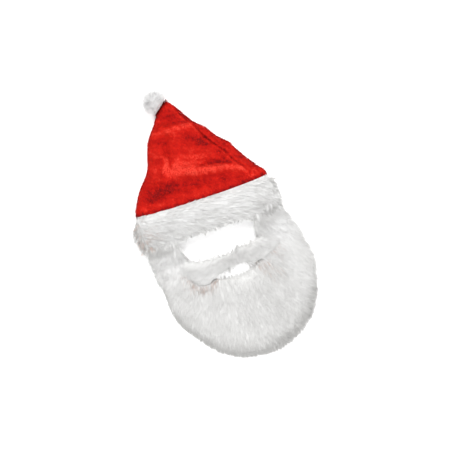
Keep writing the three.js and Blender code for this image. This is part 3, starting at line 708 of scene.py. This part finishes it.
rng = np.random.default_rng(31)
weight = np.where(band_turns <= 1, 1.0, BAND_BACK)
root, up, _, _ = scatter(band_skin, BAND_HAIRS, rng, weight)
x, y = root[:, 0], root[:, 1]
fringe = in_fringe(y)
eye_tufts = np.maximum(0, drift(x, y, 10, 30))
eyes_cut = 0.7 * over_eyes(x) * (1 - 0.9 * eye_tufts)
trim = (1 - (0.15 + eyes_cut) * fringe) * (1 - 0.55 * ease(y, 10, 28))
right_top = ease(x, 108, 132) * ease(y, -10, 15)
trim *= 1 - 0.42 * ease(np.abs(x), 122, 143) - 0.35 * right_top
trim *= 1 - 0.5 * ease(-x, 118, 138) * fringe
lift = rng.uniform(*BAND_LIFT, BAND_HAIRS)
tone = BAND_TONE + 0.17 * band_streaks(x, y, 6, 37)
# Painted light on the band's upper half and painted shade on its lower half
tone += 0.08 * ease(y, -8, 18) - 0.12 * ease(-y, 6, 30)
# Painted shade in the creases and round the left end, and darker towards the right end
tone += bells(x, y, BAND_CREASE_SHADE) - 0.16 * ease(x, 60, 115) - 0.24 * ease(-x, 126, 146)
brown_at_left = ease(-x, 110, 132) * ease(-y, -8, 6) * ease(band_streaks(x, y, 7, 38), -0.6, 0.3)
brown_hairs = rng.random(BAND_HAIRS) < BROWN_SHARE * brown_at_left
tone = np.where(brown_hairs, BROWN_TONE, np.maximum(tone, TINT_AND_DEEP_SHADE_BELOW))
coat(
    "band_fur", fur_finish, rng, root, up,
    turned(band_comb(x, y) + rng.normal(0, 0.24, BAND_HAIRS)),
    BAND_HAIR_LENGTH * rng.uniform(*BAND_CUT, BAND_HAIRS) * trim,
    np.where(up[:, 2] < UNDERNEATH, PRESSED_LIFT, lift), tone,
    cling=1 - 0.65 * fringe * (up[:, 2] > UNDERNEATH), vary=0.16, locks=12, hold=(0.5, 0.9),
)

# Band wisps: loose tufts of longer hair that stick out of the fringe and the two ends, some of them
# darker and brown at the left.
BAND_WISPS, WISP_LENGTH, BAND_WISP_LIFT, BAND_WISP_TONE = 1900, (10, 19), (0.05, 0.4), 0.5
rng = np.random.default_rng(39)
share = np.linspace(0, 1, BAND_GRID[0])[:-1, None]
across = (1 - np.cos(np.pi * band_turns)) / 2
at_ends = ease(np.abs(across - 0.5), 0.44, 0.5) * (share < 0.75)
weight = ease(0.16 - share, 0, 0.1) + at_ends
root, up, _, _ = scatter(band_skin, BAND_WISPS, rng, weight * (band_turns <= 1))
x, y = root[:, 0], root[:, 1]
angle = band_comb(x, y) + rng.normal(0, 0.5, BAND_WISPS) - 0.5 * over_eyes(x)
right_top = ease(x, 100, 130) * ease(y, -20, 0)
trim = 1 - 0.5 * over_eyes(x) - 0.3 * right_top
coat(
    "band_wisps", fur_finish, rng, root, up, turned(angle),
    rng.uniform(*WISP_LENGTH, BAND_WISPS) * trim, rng.uniform(*BAND_WISP_LIFT, BAND_WISPS),
    BAND_WISP_TONE - 0.45 * ease(-x, 110, 140) * rng.random(BAND_WISPS),
    bends=3, locks=7, cling=0.4, vary=0.3,
)

# Beard ground: a U of fur cloth, cut from one piece. Its knitted back lies flat on the surface and
# climbs at both sides to the inside of the band, where it is sewn in.
# Columns: inner edge x and y, outer edge x and y, from the left side round the chin to the right side
BEARD_ROWS = [
    (-88, -22, -128, -22),
    (-76, -38, -132, -38),
    (-72, -60, -135, -60),
    (-62, -84, -135, -93),
    (-46, -112, -131, -130),
    (-26, -131, -129, -164),
    (-9, -138, -119, -199),
    (5, -140, -93, -236),
    (16, -141, -59, -273),
    (23, -141, -13, -297),
    (30, -141, 39, -300),
    (38, -140, 87, -284),
    (48, -136, 131, -252),
    (59, -128, 156, -204),
    (70, -112, 168, -150),
    (78, -88, 161, -105),
    (80, -60, 151, -66),
    (82, -38, 138, -38),
    (88, -22, 128, -22),
]
KNIT, KNIT_EDGE, SEW_GAP = 1.6, 0.8, 0.6
KNIT_DARK, KNIT_LIGHT = (0.62, 0.61, 0.59), (0.84, 0.83, 0.82)
LIFT_START, LIFT_END = -78.0, -36.0
INNER_TRIM, OUTER_TRIM = 1.5, 0.5
LEFT_TRIM, LEFT_TRIM_Y, LEFT_TRIM_WIDTH = 4.0, -72, 26
BEARD_STATIONS, BEARD_ACROSS = 120, 30


def beard_under(x, y):
    """Height of the beard's back: nothing on the surface, rising by a smooth step to the inside of the
    band's front wall, less the cloth and the gap of the seam."""
    rise = np.sqrt(np.maximum(0, 1 - (x / mouth_half) ** 2))
    inside = mouth_lift + mouth_fold + (mouth_loft - mouth_fold) * rise**FRONT_ROUND
    return (inside - KNIT - SEW_GAP) * ease(y, LIFT_START, LIFT_END)


def strip(plan, under, depth, edge, low):
    """A strip of cloth on its plan, from one edge over the top to the other and back underneath: its top
    stands edge over its underside at the edges, and depth amid, by the root of a half wave. low is the
    height of its lower face over the underside."""
    share = np.linspace(0, 1, plan.shape[1])
    top_rise = edge + (depth - edge) * np.sqrt(np.maximum(0, np.sin(np.pi * share)))
    top = np.concatenate([plan, (under + top_rise)[..., None]], -1)
    bottom = np.concatenate([plan, (under + low)[..., None]], -1)[:, ::-1]
    return np.concatenate([top, bottom], 1)


def capped(rings):
    """Faces of a tube of rings with a flat cap at each end."""
    rows, columns = rings.shape[:2]
    last_ring = (rows - 1) * columns + np.arange(columns)
    return [*ring_quads(rows, columns), np.arange(columns)[::-1], last_ring]


stations = through(BEARD_ROWS, np.linspace(0, 1, BEARD_STATIONS))[:, None, :]
beard_span = np.linalg.norm(stations[..., 2:4] - stations[..., 0:2], axis=-1, keepdims=True)
across = np.linspace(0, 1, BEARD_ACROSS)[None, :, None]
station_y = stations[..., 1:2]
left_trim = LEFT_TRIM * bell(station_y - LEFT_TRIM_Y, LEFT_TRIM_WIDTH) * (stations[..., 0:1] < 0)
outer_trim = OUTER_TRIM + left_trim
across = INNER_TRIM / beard_span + across * (1 - (INNER_TRIM + outer_trim) / beard_span)
beard_plan = stations[..., 0:2] * (1 - across) + stations[..., 2:4] * across
beard_low = beard_under(beard_plan[..., 0], beard_plan[..., 1])
beard_knit = strip(beard_plan, beard_low, KNIT, KNIT_EDGE, 0.0)
knit = knit_material("white_knit", KNIT_DARK, KNIT_LIGHT)
beard_ground = solid("beard_ground", beard_knit, capped(beard_knit), knit)
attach(beard_ground, "root")

# Beard underhair: the dense short hair over the knitted back, which fills between the long hairs. It is
# deepest amid the strip and rolls off at its edges.
FUR_BED, SEWN_BED, CUT_EDGE = 7.0, KNIT + 0.4, 1.5
FULL_FUR, UNDERHAIR_GAP = -58.0, 0.1
CHEEK_FILL, CHEEK_Y, CHEEK_WIDTH = 6.0, -72.0, 18.0
x, y = beard_plan[..., 0], beard_plan[..., 1]
cheek_fill = CHEEK_FILL * bell(y - CHEEK_Y, CHEEK_WIDTH)
beard_bed = FUR_BED + cheek_fill + (SEWN_BED - FUR_BED) * ease(station_y[..., 0], FULL_FUR, LIFT_END)
billow = 0.4 * drift(x, y, 60, 41)
middle = np.sqrt(np.sin(np.pi * np.linspace(0, 1, BEARD_ACROSS)))
beard_coat = strip(beard_plan, beard_low, beard_bed, CUT_EDGE, KNIT + UNDERHAIR_GAP)
beard_coat[:, :BEARD_ACROSS, 2] += billow * middle * ease(-y, 50, 70)
beard_underhair = solid("beard_underhair", beard_coat, capped(beard_coat), underhair)
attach(beard_underhair, "root")
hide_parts("beard")

# Beard fur: the long white hairs, combed down from the cheeks and the mouth and fanning out to the rim,
# where they roll over the cut edge to the surface. They are two pieces, left and right of the chin.
BEARD_HAIRS, BEARD_HAIR_LENGTH, BEARD_MIDDLE = 92000, 24.0, 14.0
BEARD_CUT, BEARD_LIFT, BEARD_LOCKS = (0.6, 1.1), (0.06, 0.24), (0.32, 0.75)
BEARD_TOP, BEARD_FAN, FAN_REACH = -33, 0.9, 170
# How far hairs reach past the rim: all of them, and more in tufts and at the cheeks
RIM_FRINGE, FRINGE_SPREAD, TUFT_FRINGE, CHEEK_FRINGE = 6.0, (0.6, 1.2), 6.0, 30
LIP_SHARE, SLIT_MIDDLE, SLIT_HALF = 0.03, 25.0, 42.0
BEARD_TONE, PINK_SHARE, PINK_TONE = 0.57, 0.8, 0.12
# Lines along which a share of the hairs is tinted pink
PINK_LINES = [
    (-84, -98, -70, -124, 7, 0.5),
    (-70, -124, -55, -137, 6, 0.6),
    (-55, -137, -30, -135, 6, 0.7),
    (-30, -135, -12, -130, 5, 0.6),
    (62, -130, 82, -127, 5, 0.3),
    (74, -138, 90, -150, 11, 0.25),
    (98, -112, 110, -104, 9, 0.25),
]
# Lines along the moustache's edge, which creases the hairs
CREASE_LINES = [
    (-84, -96, -72, -120, 6, 1.0),
    (-72, -120, -55, -135, 7, 1.0),
    (-55, -135, -30, -133, 7, 1.0),
    (-30, -133, -12, -127, 6, 0.9),
    (58, -126, 80, -122, 6, 0.9),
    (80, -122, 100, -110, 6, 0.8),
]
# Lines under the moustache itself, where the hairs are shorter
COVERED_LINES = [(-66, -100, -25, -114, 17, 1.0), (58, -104, 96, -98, 14, 1.0)]
# Lines of painted shade where the band hangs over the hairs
SHADED_LINES = [
    (-126, -37, -86, -38, 6, 0.2),
    (90, -42, 98, -54, 6, 0.1),
    (98, -50, 124, -38, 5, 0.1),
]


def beard_comb(x, y):
    """The way the beard's hairs are combed, as an angle in plan: down, fanning out with the distance from
    the chin's middle, with slow drifts."""
    fan = BEARD_FAN * (x - BEARD_MIDDLE) / FAN_REACH
    return fan + 0.2 * drift(x, y, 70, 52) + 0.08 * drift(x, y, 24, 53)


def in_tufts(x, y):
    """A smooth step across the beard: 0 at its lower left, 1 at the right, where the rim is tufted."""
    return ease(x + 0.4 * y, -110, -60)


rng = np.random.default_rng(51)
beard_top = beard_coat[:, :BEARD_ACROSS]
weight = (np.arange(BEARD_ACROSS) < BEARD_ACROSS - 1) * (beard_plan[:-1, :, 1] < BEARD_TOP)
root, up, row, across = scatter(beard_top, BEARD_HAIRS, rng, weight)
x, y = root[:, 0], root[:, 1]
rim = ease(across, 0.8, 1.0)
tufted = in_tufts(x, y)
cheek = ease(y, -110, -70)
sideburn = between(y, -112, -86, -50, -40)
beside_eyes = ease(0.1 - across, 0, 0.06) * ease(y, -118, -98)
lip = (across < LIP_SHARE) & (np.abs(x - SLIT_MIDDLE) < SLIT_HALF)
crease = np.minimum(1, bells(x, y, CREASE_LINES))

angle = beard_comb(x, y) + rng.normal(0, 0.12 + 0.2 * cheek, BEARD_HAIRS)
angle -= np.sign(x) * beside_eyes * (0.5 + 0.7 * drift(x, y, 10, 56))
angle += math.pi * lip
heading = turned(angle) + 0.5 * up * [1, 1, 0]

trim = 1 - (0.46 - 0.24 * tufted) * rim
trim *= 1 - 0.5 * ease(0.12 - across, 0, 0.1)
trim *= 1 - (0.35 - 0.6 * np.maximum(0, drift(x, y, 9, 55))) * lip
covered = np.minimum(1, 0.4 * crease + bells(x, y, COVERED_LINES))
trim *= 1 - 0.5 * covered
length = BEARD_HAIR_LENGTH * rng.uniform(*BEARD_CUT, BEARD_HAIRS) * trim
span_here = np.interp(row, np.linspace(0, 1, BEARD_STATIONS), beard_span[:, 0, 0])
to_rim = (1 - across) * span_here
past_rim = RIM_FRINGE * rng.uniform(*FRINGE_SPREAD, BEARD_HAIRS)
past_rim *= 1 + 0.7 * ease(-y, 215, 265)
past_rim += TUFT_FRINGE * tufted + CHEEK_FRINGE * cheek
length = np.minimum(length, np.maximum(to_rim, 4) + past_rim)

lift = rng.uniform(*BEARD_LIFT, BEARD_HAIRS) + 0.15 * cheek * rng.random(BEARD_HAIRS)
lift += 0.18 * crease
cling = 1 - (0.3 + 0.3 * np.maximum(tufted, cheek)) * rim
cling -= 0.3 * cheek * (1 - rim) + 0.3 * beside_eyes
hold = 1 - (0.5 - 0.25 * tufted) * rim * (1 - cheek)

tone = BEARD_TONE + 0.05 * drift(x, y, 40, 54) - bells(x, y, SHADED_LINES)
tone += 0.16 * ease(x, 85, 135) * ease(y, -230, -170)
# Painted light on the sideburns and along the moustache's crease, against the shade there
tone += 0.2 * sideburn + 0.16 * crease - 0.15 * lip
# Painted shade towards the rim, and close under the band
tone -= 0.14 * ease(across, 0.65, 1.0) + 0.04 * ease(y, -62, -44)
# Painted shade where the fur rolls off the rim, at the bottom and the lower left
rolled_rim_shade = ease(-y, 150, 235) + 0.3 * (x < 0) * between(-y, 90, 150, 150, 235)
tone -= 0.32 * rolled_rim_shade * ease(across, 0.78, 0.95)
pink = rng.random(BEARD_HAIRS) < PINK_SHARE * bells(x, y, PINK_LINES)
tone = np.where(pink, PINK_TONE, np.maximum(tone, TINT_AND_DEEP_SHADE_BELOW))
vary = 0.08 + 0.05 * sideburn
for side, chosen in (("left", x < BEARD_MIDDLE), ("right", x >= BEARD_MIDDLE)):
    coat(
        f"beard_fur_{side}", fur_finish, rng, root[chosen], up[chosen], heading[chosen],
        length[chosen], lift[chosen], tone[chosen], cling=cling[chosen],
        hold=[share * hold[chosen] for share in BEARD_LOCKS], vary=vary[chosen],
    )

# Beard wisps: loose tufts of longer hair at the rim, most of them right of the chin, at the outer edges
# of the cheeks, and over the seam where the cheeks go into the band.
BEARD_WISPS, BEARD_WISP_LIFT, BEARD_WISP_TONE = 2200, (0.05, 0.3), 0.55
rng = np.random.default_rng(57)
top_share = np.linspace(0, 1, BEARD_ACROSS)
plan_x, plan_y = beard_plan[:-1, :, 0], beard_plan[:-1, :, 1]
cheeks = ease(plan_y, -112, -92)
left_cheek = cheeks * (plan_x < 0)
weight = 0.15 + in_tufts(plan_x, plan_y) + 1.6 * cheeks + 6 * left_cheek
weight *= ease(top_share, 0.86, 1.0)
weight += (0.5 + cheeks) * ease(0.1 - top_share, 0, 0.1)
weight += 0.35 * cheeks * (plan_y < -36)
weight[:, -1] = 0
root, up, _, across = scatter(beard_top, BEARD_WISPS, rng, weight)
x, y = root[:, 0], root[:, 1]
heading = turned(beard_comb(x, y) + rng.normal(0, 0.4, BEARD_WISPS))
trim = 1 - 0.35 * ease(0.1 - across, 0, 0.05)
coat(
    "beard_wisps", fur_finish, rng, root, up, heading + 0.6 * up * [1, 1, 0],
    rng.uniform(*WISP_LENGTH, BEARD_WISPS) * trim, rng.uniform(*BEARD_WISP_LIFT, BEARD_WISPS),
    np.full(BEARD_WISPS, BEARD_WISP_TONE), bends=3, locks=7, cling=0.5, width=0.85, vary=0.25,
)

# Moustache: a narrow strip of the same fur cloth, sewn to the beard at both ends. Between them it bridges
# the opening of the mouth, where it sags lower. This is its knitted back and its underhair.
# Columns: x, upper edge y, lower edge y
MOUSTACHE_ROWS = [
    (-84, -88, -94),
    (-74, -83, -110),
    (-63, -85, -125),
    (-52, -89, -134),
    (-40, -91, -135),
    (-25, -93, -129),
    (-10, -94, -123),
    (7, -95, -118),
    (25, -94, -115),
    (39, -87, -116),
    (57, -89, -120),
    (74, -84, -121),
    (90, -83, -115),
    (102, -88, -105),
    (110, -93, -98),
]
MOUSTACHE_BED, MOUSTACHE_SEAT, BRIDGE_LOW, BRIDGE_FILL = 8.0, 8.6, 1.2, 4.0
MOUSTACHE_GRID = (90, 24)
share = np.linspace(0, 1, MOUSTACHE_GRID[0])
moustache_row = through(MOUSTACHE_ROWS, share)[:, None, :]
across = np.linspace(0, 1, MOUSTACHE_GRID[1])[None, :]
y = moustache_row[..., 1] * (1 - across) + moustache_row[..., 2] * across
x = np.broadcast_to(moustache_row[..., 0], y.shape)
plan = np.stack([x, y], -1)
sag = between(x, -8, 14, 28, 50)
low = MOUSTACHE_SEAT + (BRIDGE_LOW - MOUSTACHE_SEAT) * sag
at_end = (ease(share, 0, 0.2) * ease(1 - share, 0, 0.3))[:, None]
depth = CUT_EDGE + (MOUSTACHE_BED - CUT_EDGE) * at_end + BRIDGE_FILL * sag
moustache_coat = strip(plan, low, depth, CUT_EDGE, 0.0)
moustache_ground = solid("moustache_ground", moustache_coat, capped(moustache_coat), underhair)
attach(moustache_ground, "root")
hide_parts("moustache")

# Moustache fur: its hairs part over the middle of the mouth and are combed down and outwards. Those at
# its upper edge are brushed up.
MOUSTACHE_HAIRS, MOUSTACHE_HAIR_LENGTH = 17000, 18.0
MOUSTACHE_CUT, MOUSTACHE_LIFT, MOUSTACHE_TONE = (0.6, 1.1), (0.06, 0.28), 0.66
PARTING, PARTING_REACH, COMB_LIMITS, BRUSHED_UP = 27.0, 60, (-0.95, 1.05), 0.045


def moustache_comb(x, y):
    """The way the moustache's hairs are combed, as an angle in plan: down at the parting, and further to
    the side the further from it."""
    return np.clip((x - PARTING) / PARTING_REACH, *COMB_LIMITS) + 0.2 * drift(x, y, 30, 62)


rng = np.random.default_rng(61)
column = np.arange(2 * MOUSTACHE_GRID[1])
weight = np.where(column < MOUSTACHE_GRID[1] - 1, 1.0, 0.0)
root, up, _, around = scatter(moustache_coat, MOUSTACHE_HAIRS, rng, weight)
x, y = root[:, 0], root[:, 1]
brushed_up = around < BRUSHED_UP
angle = moustache_comb(x, y) + rng.normal(0, 0.2, MOUSTACHE_HAIRS)
angle += brushed_up * (math.pi - 0.6 * angle)
tufts = np.maximum(0, drift(x, y, 11, 64))
lower_cut = 0.6 - 0.35 * tufts - 0.2 * (x < -15)
trim = 1 - lower_cut * ease(around, 0.25, 0.5)
trim *= 1 - (0.92 - 0.6 * tufts) * brushed_up
coat(
    "moustache_fur", fur_finish, rng, root, up, turned(angle),
    MOUSTACHE_HAIR_LENGTH * rng.uniform(*MOUSTACHE_CUT, MOUSTACHE_HAIRS) * trim,
    rng.uniform(*MOUSTACHE_LIFT, MOUSTACHE_HAIRS), MOUSTACHE_TONE + 0.05 * drift(x, y, 30, 63),
    cling=1 - 0.6 * brushed_up, hold=(0.3, 0.7), vary=0.07,
)

# Moustache wisps: single hairs that stand up from the upper edge into the eyes' opening, and others that
# cross the slit of the mouth.
MOUSTACHE_WISPS, STANDING_LENGTH, CROSSING_LONGER = 320, (5, 12), 11
STANDING_TONE, CROSSING_TONE = 0.5, 0.4
# Places x along the slit where its hairs cross in numbers, and how far to each side
SLIT_STRANDS, STRAND_SPREAD = (2.0, 44.0), 9.0
rng = np.random.default_rng(67)
from_strand = np.abs(moustache_row[:-1, :, :1] - SLIT_STRANDS).min(-1)
lower_edge = np.abs(column - MOUSTACHE_GRID[1] + 3) < 2
weight = 0.4 * (column < 2) + 0.3 * bell(from_strand, STRAND_SPREAD) * lower_edge
root, up, _, around = scatter(moustache_coat, MOUSTACHE_WISPS, rng, weight)
standing = around < 0.2
angle = rng.normal(0, 0.5, MOUSTACHE_WISPS) + math.pi * standing
angle += 0.5 * ~standing * (root[:, 0] > SLIT_MIDDLE)
coat(
    "moustache_wisps", fur_finish, rng, root, up, turned(angle),
    rng.uniform(*STANDING_LENGTH, MOUSTACHE_WISPS) + CROSSING_LONGER * ~standing,
    rng.uniform(0.0, 0.3, MOUSTACHE_WISPS), np.where(standing, STANDING_TONE, CROSSING_TONE),
    bends=3, locks=4, hold=(0.1, 0.6), cling=0.5, width=0.85, vary=0.15,
)

# Pompom: a ball of cut white fur, tied and sewn to the crown's tip, where it has flopped to the left.
# This is its dense core, flattened a little on the surface and against the tip.
POMPOM_CENTRE = np.array([-30.0, 240.0, 19.0])
POMPOM_CORE, POMPOM_FLOOR = 16.5, 1.0
POMPOM_GRID, POLE_GAP = (30, 60), 0.04
# The direction from its middle to the crown's tip, how far the tip is, and how uneven that side is
TIP_WAY = np.array([0.67, -0.742, 0.0])
TIP_DISTANCE, TIP_UNEVEN = 12.8, 1.8


def pressed(points):
    """The points with none further than the tip's distance from the ball's middle on the tip's side, a
    distance that drifts a little so that the side isn't flat."""
    distance = TIP_DISTANCE + TIP_UNEVEN * drift(points[..., 0] + points[..., 1], points[..., 2], 9, 82)
    past = np.maximum(0, (points - POMPOM_CENTRE) @ TIP_WAY - distance)
    return points - past[..., None] * TIP_WAY


polar = np.linspace(POLE_GAP, math.pi - POLE_GAP, POMPOM_GRID[0])[::-1, None]
around = np.linspace(0, 2 * math.pi, POMPOM_GRID[1], endpoint=False)[None, :]
ball = (np.sin(polar) * np.cos(around), np.sin(polar) * np.sin(around), np.cos(polar))
pompom_core = POMPOM_CENTRE + POMPOM_CORE * np.stack(np.broadcast_arrays(*ball), -1)
pompom_core[..., 2] = np.maximum(pompom_core[..., 2], POMPOM_FLOOR)
pompom_core = pressed(pompom_core)
pompom_ball = solid("pompom_ball", pompom_core, capped(pompom_core), underhair)
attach(pompom_ball, "root")
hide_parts("pompom")

# Pompom fur: soft hairs that stand out all round the ball, cut to one length and ruffled all ways.
POMPOM_HAIRS, POMPOM_HAIR_LENGTH, POMPOM_TONE = 11000, 14.5, 0.68
POMPOM_CUT, POMPOM_LIFT, POMPOM_UNEVEN = (0.5, 1.15), (0.35, 0.75), 0.35
POMPOM_SHADE, POMPOM_BODY = (0.66, 0.657, 0.655), (0.83, 0.827, 0.825)
POMPOM_GLOSS = (0.95, 0.948, 0.945)
POMPOM_COLOURS = (FUR_TINT, POMPOM_SHADE, POMPOM_BODY, POMPOM_GLOSS)
pompom_finish = hair_material("pompom_hair", POMPOM_COLOURS, 0.96, **FUR_SHEEN)
rng = np.random.default_rng(81)
root, up, _, _ = scatter(pompom_core, POMPOM_HAIRS, rng)
uneven = drift(root[:, 0], root[:, 1] + root[:, 2], 11, 83)
coat(
    "pompom_fur", pompom_finish, rng, root, up, rng.normal(0, 1, (POMPOM_HAIRS, 3)),
    POMPOM_HAIR_LENGTH * rng.uniform(*POMPOM_CUT, POMPOM_HAIRS) * (1 + POMPOM_UNEVEN * uneven),
    rng.uniform(*POMPOM_LIFT, POMPOM_HAIRS), np.full(POMPOM_HAIRS, POMPOM_TONE),
    locks=18, hold=(0.2, 0.55), width=0.8, vary=0.2, press=pressed,
)

# Surface: a plain pale table under the hat, which isn't part of it. It glows a little, to stay white.
FLOOR_HALF, FLOOR_LEVEL, FLOOR_GLOW = 12000.0, -0.2, 0.3
FLOOR_DARK, FLOOR_LIGHT = (0.93, 0.93, 0.93), (0.95, 0.95, 0.95)
floor_corners = FLOOR_HALF * np.array([[-1, -1, 0], [1, -1, 0], [1, 1, 0], [-1, 1, 0]], float)
floor_corners[:, 2] = FLOOR_LEVEL
floor_finish, floor_tree, floor_shader = material_named("pale_table", roughness=0.9, specular=0.1)
floor_tone = ramp(floor_tree, noise(floor_tree, 300, 2), [(0.3, FLOOR_DARK), (0.7, FLOOR_LIGHT)])
floor_tree.links.new(floor_tone, floor_shader.inputs["Base Color"])
floor_shader.inputs["Emission Color"].default_value = (1, 1, 1, 1)
floor_shader.inputs["Emission Strength"].default_value = FLOOR_GLOW
table_top = solid("table_top", floor_corners, [(0, 1, 2, 3)], floor_finish)

# Light and camera: soft light from the top of the picture with an even sky, and a camera straight above.
# The hat leans to the left in the picture.
LEAN = math.radians(18.5)
AIM = np.array([27.0, -39.0, 15.0]) * MM
PICTURE_WIDTH = 904.0 * MM
LENS, SENSOR = 85.0, 36.0
# Each light's way up the picture, height in metres and power; then their size and the sky's strength
KEY, FILL = (2.2, 3.5, 135.0), (-3.0, 2.0, 36.0)
LIGHT_SIZE, SKY = 2.0, 0.82
up_in_picture = np.array([math.sin(LEAN), math.cos(LEAN), 0.0])


def soft_light(name, way, height, power):
    """A square area light that stands some way up the picture and faces its middle."""
    lamp = bpy.data.lights.new(name, "AREA")
    lamp.size = LIGHT_SIZE
    lamp.energy = power
    light = bpy.data.objects.new(name, lamp)
    bpy.context.collection.objects.link(light)
    away = up_in_picture * way + np.array([0, 0, height])
    light.location = AIM + away
    flat = math.hypot(away[0], away[1])
    light.rotation_euler = (math.atan2(flat, away[2]), 0, math.atan2(away[0], -away[1]))


soft_light("key", *KEY)
soft_light("fill", *FILL)
world = bpy.data.worlds.new("studio")
world.use_nodes = True
world.node_tree.nodes["Background"].inputs["Color"].default_value = (1, 1, 1, 1)
world.node_tree.nodes["Background"].inputs["Strength"].default_value = SKY
bpy.context.scene.world = world
bpy.context.scene.view_settings.view_transform = "Standard"

camera_data = bpy.data.cameras.new("camera")
camera_data.lens = LENS
camera_data.sensor_width = SENSOR
camera = bpy.data.objects.new("camera", camera_data)
bpy.context.collection.objects.link(camera)
camera.location = AIM + np.array([0, 0, PICTURE_WIDTH * LENS / SENSOR])
camera.rotation_euler = (0, 0, -LEAN)
bpy.context.scene.camera = camera
